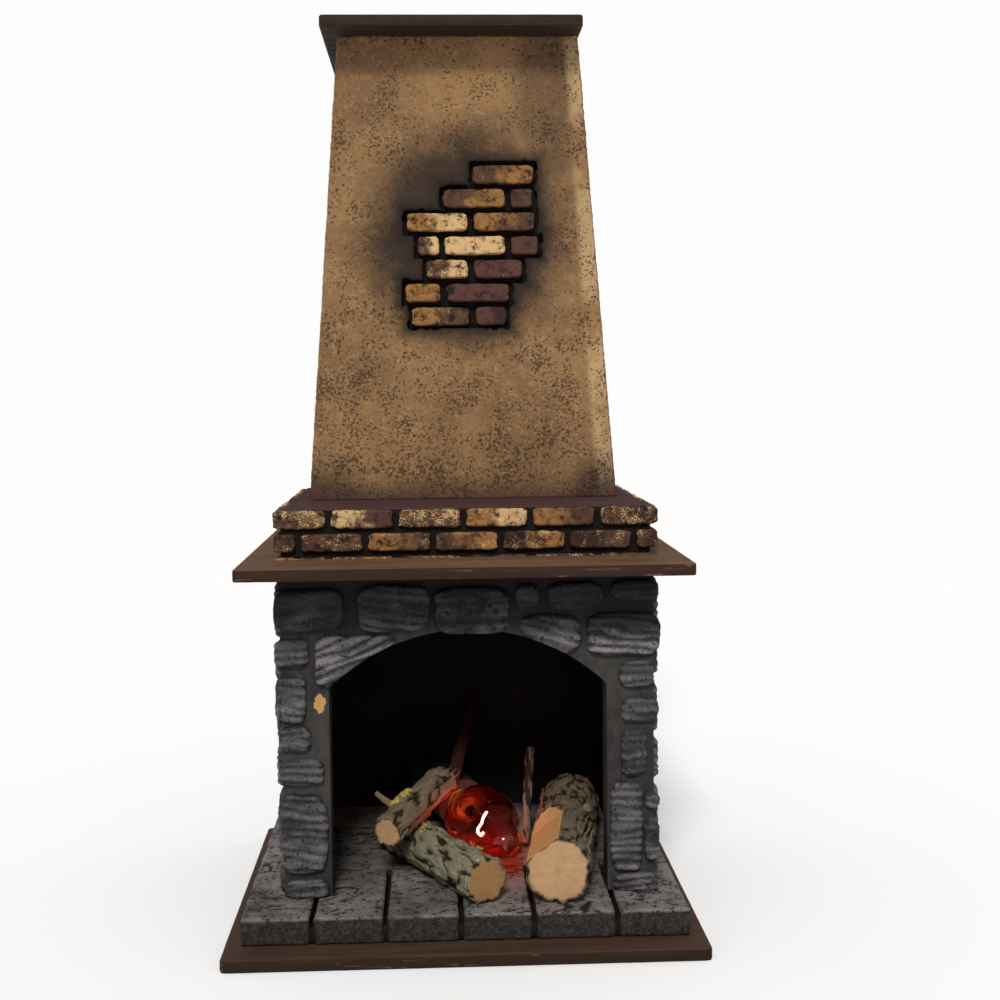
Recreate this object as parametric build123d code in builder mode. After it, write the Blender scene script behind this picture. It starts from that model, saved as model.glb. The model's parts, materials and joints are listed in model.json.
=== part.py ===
"""Miniature stone fireplace with a tapered hood, for a nativity scene or dolls house.

Millimetres. +X is the viewer's right, +Y runs from the hearth to the back wall, +Z is up.
The origin is the middle of the base board's underside.
"""
from build123d import *
from math import cos, radians, sin, sqrt
import os

# ---------------------------------------------------------------- driving dimensions
# base board and hearth
base_depth = 195.0
board_thickness = 5.0
board_corner_radius = 3.0
hearth_thickness = 12.0
hearth_side_margin = 7.0
hearth_side_walk = 14.5
hearth_front_margin = 16.5
hearth_joint = 2.0
hearth_row_depth = 66.0
hearth_chamfer = 1.2
front_block_lengths = (30.0, 30.0, 31.0, 30.0, 34.5, 31.0)
side_block_lengths = (58.0, 48.0)

# fire surround
surround_width = 167.0
surround_shift = 2.5
surround_height = 148.0
surround_setback = 44.5
arch_panel_thickness = 16.0
side_panel_thickness = 10.0
back_panel_thickness = 5.0
post_width = 21.2
arch_rise = 25.5
lintel_height = 27.5

# stones on the surround
stone_thickness = 3.5
stone_overhang = 2.4
stone_edge = 1.2
side_stone_edge = 0.6
stone_corner = 4.0
stone_gap = 3.0
# top course, left to right: gap before, width, drop from the top, height
lintel_course = (
    (0.0, 31.0, 8.2, 19.1),
    (6.2, 32.0, 7.0, 20.6),
    (2.2, 33.3, 8.0, 21.0),
    (2.7, 10.3, 7.1, 11.2),
    (3.5, 25.5, 6.6, 12.6),
    (3.6, 21.5, 6.1, 9.0),
)
# stones that shape the arch: length, drop from the top, height
arch_stones = {"left": (34.5, 29.1, 23.8), "middle": (27.3, 21.2, 17.5), "right": (32.3, 20.9, 19.3)}
arch_stone_lap = 5.4
# post stones from the hearth up: gap below, height, inset from the outer edge, inset from the arch
left_post_course = (
    (0.0, 8.3, 3.0, 1.4),
    (3.2, 35.2, 1.4, 1.4),
    (4.5, 10.9, 1.1, 2.7),
    (4.2, 10.8, 1.0, 8.1),
    (2.3, 21.1, 0.0, 10.0),
    (3.2, 12.5, 0.0, 8.7),
)
right_post_course = (
    (0.0, 7.9, 0.6, 2.5),
    (1.5, 42.8, 7.8, 1.2),
    (1.4, 21.4, 5.8, 6.4),
    (3.6, 10.9, 0.4, 6.5),
    (5.5, 11.3, 2.6, 5.6),
)
# two small stones on the right corner, beside the long one: rise above its foot, height
corner_stones = ((4.3, 18.9), (28.8, 6.4))
corner_stone_gap = 1.0
side_stone_courses = (14.0, 27.0, 18.0, 22.0, 16.0, 24.0)
side_stone_lengths = (34.0, 27.0, 38.0, 30.0)
side_stone_top_margin = 3.0

# mantel shelf
shelf_side_overhang = 14.5
shelf_front_overhang = 38.0
shelf_shift = 1.4

# brick ledge under the hood
ledge_height = 22.0
ledge_overhang = 2.0
ledge_front_overhang = 1.0
brick_thickness = 3.0
brick_length = 27.0
brick_joint = 2.9
brick_course_height = 8.0
brick_corner = 1.2
side_brick_gap = 0.7
ledge_top_margin = 0.4
ledge_course_starts = (-4.0, -17.6)
ledge_course_gap = 2.4

# hood
hood_height = 219.0
hood_side_setback = 11.7
hood_top_width = 114.0
hood_front_setback = 56.0
hood_lean = 4.0
hood_shift = 2.6
hood_wall = 5.0

# hole in the plaster with the brickwork behind it
patch_top = 158.4
patch_course_height = 8.4
patch_course_gap = 2.75
patch_brick_proud = 0.8
patch_clearance = 2.4
backing_thickness = 3.0
backing_margin = 5.0
# bricks from the top course down: left and right ends, measured from the hood's middle
patch_courses = (
    ((6.5, 35.0),),
    ((-7.9, 21.5), (24.4, 34.4)),
    ((-25.2, 3.2), (6.6, 35.2)),
    ((-20.1, -10.3), (-7.3, 21.2), (24.2, 37.0)),
    ((-16.0, 3.4), (6.8, 29.2)),
    ((-26.2, -10.0), (-6.6, 22.9)),
    ((-23.5, 3.6), (7.1, 21.4)),
)

# cap board
cap_side_overhang = 3.8
cap_front_overhang = 21.0
cap_shift = -0.6

# lamp: candle shape with a 14 mm screw cap
lamp_length = 97.0
lamp_radius = 17.5
lamp_belly = 52.0
lamp_neck_radius = 6.4
lamp_nose_length = 14.0
lamp_nose_radius = 9.5
glass_wall = 0.7
cap_length = 22.0
cap_contact_length = 4.0
cap_root_radius = 6.2
thread_crest_radius = 6.95
thread_pitch = 2.82
thread_turns = 5
thread_start = 2.1
contact_button_radius = 2.3
glass_neck_length = 4.0
filament_span = 12.0
filament_rise = 6.0
filament_radius = 0.35
filament_steps = (-1.0, -0.5, 0.0, 0.5, 1.0)
support_wire_radius = 0.3
support_length = 16.0
stem_radius = 3.0
stem_length = 30.0
lamp_yaw = 15.0
lamp_floor_gap = 1.5
lamp_offset = 6.5
lamp_back_room = 97.5

# lampholder
holder_radius = 12.5
holder_wall = 2.5
holder_length = 34.0
holder_mouth = 20.0
holder_sleeve_wall = 0.5
holder_sleeve_length = 17.0
thread_clearance = 0.3
insulator_thickness = 4.0
plunger_clearance = 0.05
plunger_flange_radius = 4.0
plunger_flange_thickness = 1.0
plunger_seat_gap = 1.0
spring_wire_radius = 0.3
spring_coils = 5
spring_length = 6.0
spring_gap = 0.4
plunger_tail = 5.0
end_cap_thickness = 5.0
end_cap_chamfer = 1.5
nipple_radius = 5.0
cable_bore_radius = 3.5
nipple_length = 10.0
nut_across_flats = 14.0
nut_thickness = 3.0
bracket_thickness = 1.5
bracket_width = 26.0
bracket_shift = 3.0
bracket_foot_length = 18.0
bracket_top_margin = 14.0
bracket_hole_clearance = 0.2
terminal_screw_radius = 1.5
terminal_screw_length = 4.0
terminal_spacing = 13.0
foot_screw_spacing = 12.0
foot_screw_setback = 12.0
foot_screw_radius = 1.6
foot_screw_head_radius = 3.0
foot_screw_head_height = 1.6
foot_screw_depth = 8.0
cable_exit_radius = 5.0

# logs: ends of each centre line, across from the lamp's side and back from its widest circle
right_log_radius = 15.0
right_log_ends = ((14.5, -65.0), (29.5, 45.0))
front_log_radius = 10.5
front_log_ends = ((17.8, -63.0), (-25.5, 21.5))
upper_log_radius = 7.6
upper_log_ends = ((-26.9, -30.0), (-0.5, 20.0))
upper_log_slope = 0.2
log_gap = 0.4
stick_radius = 2.4
stick_ends = ((4.5, 17.0), (9.5, 50.0))
stick_rise = 42.0
bark_width = 9.0
bark_thickness = 2.0
bark_ends = ((3.5, 25.0), (16.5, 91.0))
bark_rise = 27.0

# ---------------------------------------------------------------- derived positions
front_y = -base_depth / 2
back_y = base_depth / 2
hearth_bottom = board_thickness
hearth_top = hearth_bottom + hearth_thickness
surround_front = front_y + surround_setback
surround_top = hearth_top + surround_height
surround_half = surround_width / 2
base_width = surround_width + 2 * (hearth_side_walk + hearth_side_margin)
firebox_front = surround_front + arch_panel_thickness
firebox_back = back_y - back_panel_thickness
arch_half = surround_half - post_width
arch_crown_z = surround_top - lintel_height
arch_spring_z = arch_crown_z - arch_rise
surround_left = surround_shift - surround_half - stone_overhang
surround_right = surround_shift + surround_half + stone_overhang
shelf_width = surround_width + 2 * shelf_side_overhang
shelf_top = surround_top + board_thickness
ledge_top = shelf_top + ledge_height
ledge_half = surround_half + ledge_overhang
hood_bottom_width = 2 * (ledge_half - hood_side_setback)
hood_bottom_front = surround_front + hood_front_setback
hood_top_front = hood_bottom_front + hood_lean
hood_top = ledge_top + hood_height
cap_width = hood_top_width + 2 * cap_side_overhang

lamp_direction = Vector(sin(radians(lamp_yaw)), -cos(radians(lamp_yaw)), 0)
lamp_side = Vector(cos(radians(lamp_yaw)), sin(radians(lamp_yaw)), 0)
lamp_axis_z = hearth_top + lamp_floor_gap + lamp_radius
fire_x = surround_shift + lamp_offset
fire_y = firebox_back - lamp_back_room
lamp_foot = Vector(fire_x, fire_y, lamp_axis_z) - lamp_direction * lamp_belly
lamp_axis = Axis(lamp_foot, lamp_direction)
sleeve_bore_radius = thread_crest_radius + thread_clearance
sleeve_outer_radius = sleeve_bore_radius + holder_sleeve_wall
plunger_travel = thread_pitch
insulator_front = -plunger_flange_thickness - plunger_seat_gap
insulator_back = insulator_front - insulator_thickness
holder_back = holder_mouth - holder_length
bracket_front = holder_back - end_cap_thickness
bracket_back = bracket_front - bracket_thickness
foot_plane_origin = lamp_foot + lamp_direction * bracket_back
foot_plane = Plane(origin=(foot_plane_origin.X, foot_plane_origin.Y, hearth_top), x_dir=lamp_side * -1)
cable_exit_x = (lamp_foot + lamp_direction * (bracket_back - (back_y - foot_plane_origin.Y))).X

os.makedirs("parts", exist_ok=True)


def save(piece, name):
    """Label a finished piece and write it as its own STEP file."""
    piece.label = name
    export_step(piece, f"parts/{name}.step")


def along_lamp(distance):
    """Plane square to the lamp's axis, a distance from the lamp's contact."""
    return Plane(origin=lamp_foot + lamp_direction * distance, x_dir=lamp_side, z_dir=lamp_direction)


def foot_screw_spots():
    """Places of the bracket's two screws on its foot."""
    return [(side * foot_screw_spacing / 2, -foot_screw_setback) for side in (-1, 1)]


lamp_profile = Plane(origin=lamp_foot, x_dir=lamp_direction, z_dir=(0, 0, -1))


# ---------------------------------------------------------------- boards
def make_board(width, shift, front, bottom):
    """A flat board that reaches from a front edge to the back of the model."""
    depth = back_y - front
    with BuildPart() as board:
        with BuildSketch(Plane.XY.offset(bottom)):
            with Locations((shift, front + depth / 2)):
                RectangleRounded(width, depth, board_corner_radius)
        extrude(amount=board_thickness)
    return board.part


# ---------------------------------------------------------------- hearth
def make_hearth_block(left, right, front, back):
    """One hearth block, with its upper edges worn back."""
    with BuildPart() as block:
        with BuildSketch(Plane.XY.offset(hearth_bottom)):
            with Locations(((left + right) / 2, (front + back) / 2)):
                Rectangle(right - left, back - front)
        extrude(amount=hearth_thickness)
        chamfer(block.faces().sort_by(Axis.Z)[-1].edges(), hearth_chamfer)
    return block.part


def hearth_blocks():
    """The front row, the blocks down both sides, and the floor slab between them."""
    half = surround_half + hearth_side_walk
    front = front_y + hearth_front_margin
    row_back = front + hearth_row_depth
    joints = hearth_joint * (len(front_block_lengths) - 1)
    stretch = (2 * half - joints) / sum(front_block_lengths)
    left = -half
    for number, length in enumerate(front_block_lengths, start=1):
        right = left + length * stretch
        save(make_hearth_block(left, right, front, row_back), f"hearth_block_front_{number}")
        left = right + hearth_joint
    side_front = row_back + hearth_joint
    side_run = back_y - side_front - hearth_joint
    side_stretch = side_run / sum(side_block_lengths)
    middle_back = side_front + side_block_lengths[0] * side_stretch
    for side, outer in (("left", -half), ("right", half)):
        inner = outer + hearth_side_walk if side == "left" else outer - hearth_side_walk
        edges = sorted((outer, inner))
        middle = make_hearth_block(*edges, side_front, middle_back)
        save(middle, f"hearth_block_{side}_middle")
        rear = make_hearth_block(*edges, middle_back + hearth_joint, back_y)
        save(rear, f"hearth_block_{side}_rear")
    floor_half = surround_half - hearth_joint
    with BuildPart() as floor_slab:
        with BuildSketch(Plane.XY.offset(hearth_bottom)):
            with Locations((0, (side_front + back_y) / 2)):
                Rectangle(2 * floor_half, back_y - side_front)
        extrude(amount=hearth_thickness)
        with BuildSketch(foot_plane):
            with Locations(*foot_screw_spots()):
                Circle(foot_screw_radius)
        extrude(amount=-foot_screw_depth, mode=Mode.SUBTRACT)
    save(floor_slab.part, "firebox_floor")


# ---------------------------------------------------------------- surround panels
def arch_opening(height_below=0.0):
    """The arch on the surround's front plane, reaching below its foot by a height."""
    foot = hearth_top - height_below
    left = surround_shift - arch_half
    right = surround_shift + arch_half
    with BuildSketch(Plane.XZ.offset(-surround_front)) as opening:
        with BuildLine():
            Line((left, foot), (left, arch_spring_z))
            ThreePointArc((left, arch_spring_z), (surround_shift, arch_crown_z), (right, arch_spring_z))
            Line((right, arch_spring_z), (right, foot))
            Line((right, foot), (left, foot))
        make_face()
    return opening.sketch


def make_arch_panel():
    """Front of the surround, with the arched mouth of the firebox."""
    with BuildPart() as panel:
        with BuildSketch(Plane.XZ.offset(-firebox_front)):
            with Locations((surround_shift, hearth_top + surround_height / 2)):
                Rectangle(surround_width, surround_height)
        extrude(amount=arch_panel_thickness)
        extrude(arch_opening(), amount=-arch_panel_thickness, mode=Mode.SUBTRACT)
    return panel.part


def make_side_panel(side):
    """Side wall of the firebox: side is -1 on the left and 1 on the right."""
    middle = surround_shift + side * (surround_half - side_panel_thickness / 2)
    with BuildPart() as panel:
        with BuildSketch(Plane.XY.offset(hearth_top)):
            with Locations((middle, (firebox_front + firebox_back) / 2)):
                Rectangle(side_panel_thickness, firebox_back - firebox_front)
        extrude(amount=surround_height)
    return panel.part


def make_back_panel():
    """Back wall of the firebox, with the hole where a cable leaves."""
    with BuildPart() as panel:
        with BuildSketch(Plane.XZ.offset(-back_y)):
            with Locations((surround_shift, hearth_top + surround_height / 2)):
                Rectangle(surround_width, surround_height)
            with Locations((cable_exit_x, lamp_axis_z)):
                Circle(cable_exit_radius, mode=Mode.SUBTRACT)
        extrude(amount=back_panel_thickness)
    return panel.part


# ---------------------------------------------------------------- stones
def make_front_stones(boxes, follow_arch=False):
    """Stones glued to the surround's front: boxes are left, right, bottom and top edges."""
    with BuildPart() as stones:
        with BuildSketch(Plane.XZ.offset(-surround_front)):
            for left, right, bottom, top in boxes:
                corner = min(stone_corner, (right - left) / 3, (top - bottom) / 3)
                with Locations(((left + right) / 2, (bottom + top) / 2)):
                    RectangleRounded(right - left, top - bottom, corner)
        extrude(amount=stone_thickness)
        chamfer(stones.faces().group_by(Axis.Y)[0].edges(), stone_edge)
        if follow_arch:
            extrude(arch_opening(stone_gap), amount=stone_thickness, mode=Mode.SUBTRACT)
    return stones.part


def lintel_stones():
    """Top course of six stones, spread over the width of the surround."""
    run = sum(gap + width for gap, width, _, _ in lintel_course)
    stretch = (surround_right - surround_left) / run
    left = surround_left
    for number, (gap, width, drop, height) in enumerate(lintel_course, start=1):
        left += gap * stretch
        right = left + width * stretch
        top = surround_top - drop
        save(make_front_stones([(left, right, top - height, top)]), f"lintel_stone_{number}")
        left = right


def arch_stone_boxes():
    """Places of the three stones that follow the arch."""
    right_end = surround_right
    boxes = {}
    for name in ("right", "middle", "left"):
        length, drop, height = arch_stones[name]
        top = surround_top - drop
        if name == "left":
            right_end = surround_shift - arch_half - arch_stone_lap + length
        boxes[name] = (right_end - length, right_end, top - height, top)
        right_end -= length + stone_gap
    return boxes


def post_stones(course, side, top):
    """Stones stacked up one post, from the hearth to the stone above: side is -1 or 1."""
    outer_edge = surround_shift + side * (surround_half + stone_overhang)
    inner_edge = surround_shift + side * arch_half
    run = sum(gap + height for gap, height, _, _ in course)
    stretch = (top - stone_gap - hearth_top) / run
    boxes = []
    bottom = hearth_top
    for gap, height, outer_inset, inner_inset in course:
        bottom += gap * stretch
        edges = sorted((outer_edge - side * outer_inset, inner_edge + side * inner_inset))
        boxes.append((*edges, bottom, bottom + height * stretch))
        bottom += height * stretch
    return boxes


def right_corner_stones(long_stone):
    """The two small stones between the long stone and the right corner."""
    left = long_stone[1] + corner_stone_gap
    return [(left, surround_right, long_stone[2] + rise, long_stone[2] + rise + height)
            for rise, height in corner_stones]


def front_stones():
    """Every stone on the front of the surround."""
    lintel_stones()
    boxes = arch_stone_boxes()
    for name, box in boxes.items():
        save(make_front_stones([box], follow_arch=True), f"arch_stone_{name}")
    lintel_bottom = surround_top - lintel_course[0][2] - lintel_course[0][3]
    save(make_front_stones(post_stones(left_post_course, -1, lintel_bottom)), "left_post_stones")
    right_boxes = post_stones(right_post_course, 1, boxes["right"][2])
    right_boxes += right_corner_stones(right_boxes[1])
    save(make_front_stones(right_boxes), "right_post_stones")


def make_side_stones(side):
    """Courses of stones on one side wall, staggered from course to course."""
    face_x = surround_shift + side * surround_half
    run_front = surround_front + stone_gap
    run_back = back_y - stone_gap
    free_height = surround_height - side_stone_top_margin - stone_gap * len(side_stone_courses)
    stretch = free_height / sum(side_stone_courses)
    plane = Plane(origin=(face_x, 0, 0), x_dir=(0, side, 0), z_dir=(side, 0, 0))
    with BuildPart() as stones:
        with BuildSketch(plane):
            bottom = hearth_top
            for course, height in enumerate(side_stone_courses):
                top = bottom + height * stretch
                lengths = side_stone_lengths[course % 2:] + side_stone_lengths[:course % 2]
                gaps = stone_gap * (len(lengths) - 1)
                length_stretch = (run_back - run_front - gaps) / sum(lengths)
                front = run_front
                for length in lengths:
                    back = front + length * length_stretch
                    with Locations((side * (front + back) / 2, (bottom + top) / 2)):
                        RectangleRounded(back - front, top - bottom, stone_corner)
                    front = back + stone_gap
                bottom = top + stone_gap
        extrude(amount=stone_overhang)
        chamfer(stones.faces().filter_by(plane).group_by(Axis.X)[::side][-1].edges(), side_stone_edge)
    return stones.part


# ---------------------------------------------------------------- brick ledge
def course_spans(start, end, first, length, joint):
    """Spans of the bricks in a course: the first brick begins before the run and is cut by it."""
    spans = []
    left = start + first
    while left < end - joint:
        span = (max(left, start), min(left + length, end))
        if span[1] - span[0] > joint:
            spans.append(span)
        left += length + joint
    return spans


def make_ledge_core():
    """Block that carries the hood and has the brick strips glued round it."""
    half = ledge_half - brick_thickness
    front = surround_front - ledge_front_overhang + brick_thickness
    with BuildPart() as core:
        with BuildSketch(Plane.XY.offset(shelf_top)):
            with Locations((surround_shift, (front + back_y) / 2)):
                Rectangle(2 * half, back_y - front)
        extrude(amount=ledge_height)
    return core.part


def ledge_brick_sketch(plane, run_start, run_end):
    """Two courses of bricks along one face of the ledge."""
    with BuildSketch(plane) as courses:
        top = ledge_top - ledge_top_margin
        for first in ledge_course_starts:
            for left, right in course_spans(run_start, run_end, first, brick_length, brick_joint):
                with Locations(((left + right) / 2, top - brick_course_height / 2)):
                    corner = min(brick_corner, (right - left) / 3)
                    RectangleRounded(right - left, brick_course_height, corner)
            top -= brick_course_height + ledge_course_gap
    return courses.sketch


def ledge():
    """The ledge's core with brickwork on its front and both sides."""
    save(make_ledge_core(), "ledge_core")
    front = surround_front - ledge_front_overhang
    half = ledge_half
    front_plane = Plane.XZ.offset(-front - brick_thickness)
    with BuildPart() as front_bricks:
        extrude(ledge_brick_sketch(front_plane, surround_shift - half, surround_shift + half),
                amount=brick_thickness)
    save(front_bricks.part, "ledge_bricks_front")
    side_front = front + brick_thickness + side_brick_gap
    with BuildPart() as side_bricks:
        for side in (-1, 1):
            face = surround_shift + side * (half - brick_thickness)
            plane = Plane(origin=(face, 0, 0), x_dir=(0, side, 0), z_dir=(side, 0, 0))
            run = sorted((side * side_front, side * back_y))
            extrude(ledge_brick_sketch(plane, *run), amount=brick_thickness)
    save(side_bricks.part, "ledge_bricks_sides")


# ---------------------------------------------------------------- hood
def hood_face_plane(inset):
    """Plane of the hood's leaning front, set in from the outside, facing the viewer."""
    slant = sqrt(hood_height ** 2 + hood_lean ** 2)
    normal = Vector(0, -hood_height / slant, hood_lean / slant)
    foot = Vector(hood_shift, hood_bottom_front, ledge_top)
    return Plane(origin=foot - normal * inset, x_dir=(1, 0, 0), z_dir=normal)


def hood_side_plane(side, inset):
    """Plane of one leaning side of the hood, set in from the outside, facing outwards."""
    taper = (hood_bottom_width - hood_top_width) / 2
    slant = sqrt(hood_height ** 2 + taper ** 2)
    normal = Vector(side * hood_height / slant, 0, taper / slant)
    foot = Vector(hood_shift + side * hood_bottom_width / 2, back_y, ledge_top)
    return Plane(origin=foot - normal * inset, x_dir=(0, 1, 0), z_dir=normal)


def hood_block():
    """The hood's whole outer shape, as one block that its panels are cut from."""
    with BuildPart() as block:
        for height, front, width in ((0.0, hood_bottom_front, hood_bottom_width),
                                     (hood_height, hood_top_front, hood_top_width)):
            with BuildSketch(Plane.XY.offset(ledge_top + height)):
                with Locations((hood_shift, (front + back_y) / 2)):
                    Rectangle(width, back_y - front)
        loft()
    return block.part


hood_front_inner = hood_face_plane(hood_wall)
hood_back_inner = Plane(origin=(0, back_y - hood_wall, 0), x_dir=(1, 0, 0), z_dir=(0, 1, 0))


def patch_rows():
    """Bricks of the patch as left, right, bottom and top, measured on the hood's front."""
    top = patch_top
    for row in patch_courses:
        for left, right in row:
            yield left, right, top - patch_course_height, top
        top -= patch_course_height + patch_course_gap


def brick_rectangles(margin, corner):
    """Sketch every brick of the patch, grown by a margin."""
    for left, right, bottom, top in patch_rows():
        with Locations(((left + right) / 2, (bottom + top) / 2)):
            RectangleRounded(right - left + 2 * margin, top - bottom + 2 * margin, corner)


def make_hood_front():
    """Plastered front of the hood, broken through where the bricks show."""
    with BuildPart() as front:
        add(hood_block())
        split(bisect_by=hood_front_inner, keep=Keep.TOP)
        with BuildSketch(hood_front_inner):
            brick_rectangles(patch_clearance, brick_corner)
        extrude(amount=2 * hood_wall, mode=Mode.SUBTRACT)
    return front.part


def make_hood_side(side):
    """One plastered side of the hood, between its front and back panels."""
    with BuildPart() as panel:
        add(hood_block())
        split(bisect_by=hood_side_plane(side, hood_wall), keep=Keep.TOP)
        split(bisect_by=hood_front_inner, keep=Keep.BOTTOM)
        split(bisect_by=hood_back_inner, keep=Keep.BOTTOM)
    return panel.part


def make_hood_back():
    """Upright back of the hood."""
    with BuildPart() as back:
        add(hood_block())
        split(bisect_by=hood_back_inner, keep=Keep.TOP)
    return back.part


def make_brick_backing():
    """Dark sheet behind the hole, which the patch's bricks are glued to."""
    rows = list(patch_rows())
    left = min(row[0] for row in rows) - backing_margin
    right = max(row[1] for row in rows) + backing_margin
    bottom = min(row[2] for row in rows) - backing_margin
    top = max(row[3] for row in rows) + backing_margin
    with BuildPart() as backing:
        with BuildSketch(hood_front_inner):
            with Locations(((left + right) / 2, (bottom + top) / 2)):
                Rectangle(right - left, top - bottom)
        extrude(amount=-backing_thickness)
    return backing.part


def make_patch_bricks():
    """Bricks that show through the plaster, standing a little proud of it."""
    with BuildPart() as bricks:
        with BuildSketch(hood_front_inner):
            brick_rectangles(0.0, brick_corner)
        extrude(amount=hood_wall + patch_brick_proud)
    return bricks.part


def hood():
    """The hood's four panels, the brick patch and the cap board on top."""
    save(make_hood_front(), "hood_front")
    save(make_hood_side(-1), "hood_left_side")
    save(make_hood_side(1), "hood_right_side")
    save(make_hood_back(), "hood_back")
    save(make_brick_backing(), "brick_patch_backing")
    save(make_patch_bricks(), "brick_patch_bricks")
    cap_front = hood_top_front - cap_front_overhang
    save(make_board(cap_width, cap_shift, cap_front, hood_top), "cap_board")


# ---------------------------------------------------------------- lamp
def bulb_curve(inset):
    """Outline of the glass, from the cap to the tip, drawn inside it by an inset."""
    tip = lamp_length - inset
    radius = lamp_radius - inset
    neck = lamp_neck_radius - inset
    neck_end = cap_length + glass_neck_length
    Line((cap_length, neck), (neck_end, neck))
    Spline([(neck_end, neck), (lamp_belly, radius)], tangents=[(1, 0), (1, 0)])
    Spline([(lamp_belly, radius), (tip - lamp_nose_length, lamp_nose_radius - inset), (tip, 0)],
           tangents=[(1, 0), (0, -1)])


def make_lamp_glass():
    """Thin candle-shaped glass envelope."""
    with BuildPart() as glass:
        with BuildSketch(lamp_profile):
            with BuildLine():
                bulb_curve(0.0)
                Line((lamp_length, 0), (lamp_length - glass_wall, 0))
                bulb_curve(glass_wall)
                Line((cap_length, lamp_neck_radius - glass_wall), (cap_length, lamp_neck_radius))
            make_face()
        revolve(axis=lamp_axis)
    return glass.part


def make_lamp_cap():
    """Screw cap: a tube with the crests of its thread standing out as rings."""
    with BuildPart() as cap:
        with BuildSketch(along_lamp(cap_contact_length)):
            Circle(cap_root_radius)
        extrude(amount=cap_length - cap_contact_length)
        for turn in range(thread_turns):
            crest = cap_contact_length + thread_start + thread_pitch * turn
            with BuildSketch(along_lamp(crest)):
                Circle(thread_crest_radius)
            extrude(amount=thread_pitch / 2)
        with BuildSketch(along_lamp(cap_contact_length)):
            Circle(stem_radius)
        extrude(amount=cap_length - cap_contact_length, mode=Mode.SUBTRACT)
    return cap.part


def make_lamp_contact():
    """Insulated end of the cap with its round contact."""
    with BuildPart() as contact:
        with BuildSketch(along_lamp(0)):
            Circle(contact_button_radius)
        with BuildSketch(along_lamp(cap_contact_length)):
            Circle(cap_root_radius - glass_wall)
        loft()
    return contact.part


def make_lamp_stem():
    """Glass stem that fills the cap's bore and carries the support wires."""
    with BuildPart() as stem:
        with BuildSketch(along_lamp(cap_contact_length)):
            Circle(stem_radius)
        extrude(amount=stem_length)
    return stem.part


def make_support_wires():
    """Two wires that rise from the stem to the ends of the filament."""
    foot = cap_contact_length + stem_length + support_wire_radius
    with BuildPart() as wires:
        for side in (-1, 1):
            root = lamp_foot + lamp_direction * foot + lamp_side * side * stem_radius / 2
            end = root + lamp_direction * support_length + lamp_side * side * (filament_span - stem_radius) / 2
            with BuildSketch(Plane(origin=root, z_dir=end - root)):
                Circle(support_wire_radius)
            extrude(amount=(end - root).length)
    return wires.part


def make_filament():
    """Glowing filament as a zigzag of short straight wires between the supports."""
    start = cap_contact_length + stem_length + support_length + 2 * filament_radius
    with BuildPart() as filament:
        with BuildLine() as path:
            corners = []
            for index, share in enumerate(filament_steps):
                rise = filament_rise * (index % 2)
                spot = lamp_foot + lamp_direction * (start + rise) + lamp_side * share * filament_span / 2
                corners.append(spot)
            Polyline(*corners)
        with BuildSketch(Plane(origin=corners[0], z_dir=corners[1] - corners[0])):
            Circle(filament_radius)
        sweep(transition=Transition.ROUND)
    return filament.part


def lamp():
    """The lamp's pieces, all turning together."""
    save(make_lamp_glass(), "lamp_glass")
    save(make_lamp_cap(), "lamp_screw_cap")
    save(make_lamp_contact(), "lamp_end_contact")
    save(make_lamp_stem(), "lamp_stem")
    save(make_support_wires(), "lamp_support_wires")
    save(make_filament(), "lamp_filament")


# ---------------------------------------------------------------- lampholder
def make_holder_body():
    """Moulded tube: open at the mouth, with a floor for the contact and room behind it."""
    bore = holder_radius - holder_wall
    with BuildPart() as body:
        with BuildSketch(along_lamp(holder_back)):
            Circle(holder_radius)
        extrude(amount=holder_length)
        with BuildSketch(along_lamp(insulator_front)):
            Circle(sleeve_outer_radius)
        extrude(amount=holder_mouth - insulator_front, mode=Mode.SUBTRACT)
        with BuildSketch(along_lamp(holder_back)):
            Circle(bore)
        extrude(amount=insulator_back - holder_back, mode=Mode.SUBTRACT)
        with BuildSketch(along_lamp(insulator_back)):
            Circle(contact_button_radius + plunger_clearance)
        extrude(amount=insulator_thickness, mode=Mode.SUBTRACT)
    return body.part


def make_holder_sleeve():
    """Metal sleeve that the lamp's cap screws into."""
    with BuildPart() as sleeve:
        with BuildSketch(along_lamp(holder_mouth - holder_sleeve_length)):
            Circle(sleeve_outer_radius)
            Circle(sleeve_bore_radius, mode=Mode.SUBTRACT)
        extrude(amount=holder_sleeve_length)
    return sleeve.part


def make_centre_contact():
    """Sprung pin that presses on the end of the lamp, with a flange that stops it."""
    with BuildPart() as contact:
        with BuildSketch(along_lamp(insulator_back - plunger_travel - plunger_tail)):
            Circle(contact_button_radius)
        extrude(amount=plunger_travel + plunger_tail - insulator_back)
        with BuildSketch(along_lamp(-plunger_flange_thickness)):
            Circle(plunger_flange_radius)
        extrude(amount=plunger_flange_thickness)
    return contact.part


def make_contact_spring():
    """Coil spring round the pin's tail, behind the insulating floor."""
    coil_radius = contact_button_radius + spring_gap + spring_wire_radius
    start = lamp_foot + lamp_direction * (insulator_back - 2 * spring_wire_radius)
    with BuildPart() as spring:
        with BuildLine() as coil:
            Helix(spring_length / spring_coils, spring_length, coil_radius,
                  center=start, direction=-lamp_direction)
        with BuildSketch(Plane(origin=coil.line @ 0, z_dir=coil.line % 0)):
            Circle(spring_wire_radius)
        sweep(is_frenet=True)
    return spring.part


def make_terminal_screws():
    """Two screws in the insulating floor's back, one for each wire of a cable."""
    with BuildPart() as screws:
        with BuildSketch(along_lamp(insulator_back)):
            with Locations((-terminal_spacing / 2, 0), (terminal_spacing / 2, 0)):
                Circle(terminal_screw_radius)
        extrude(amount=-terminal_screw_length)
    return screws.part


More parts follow.
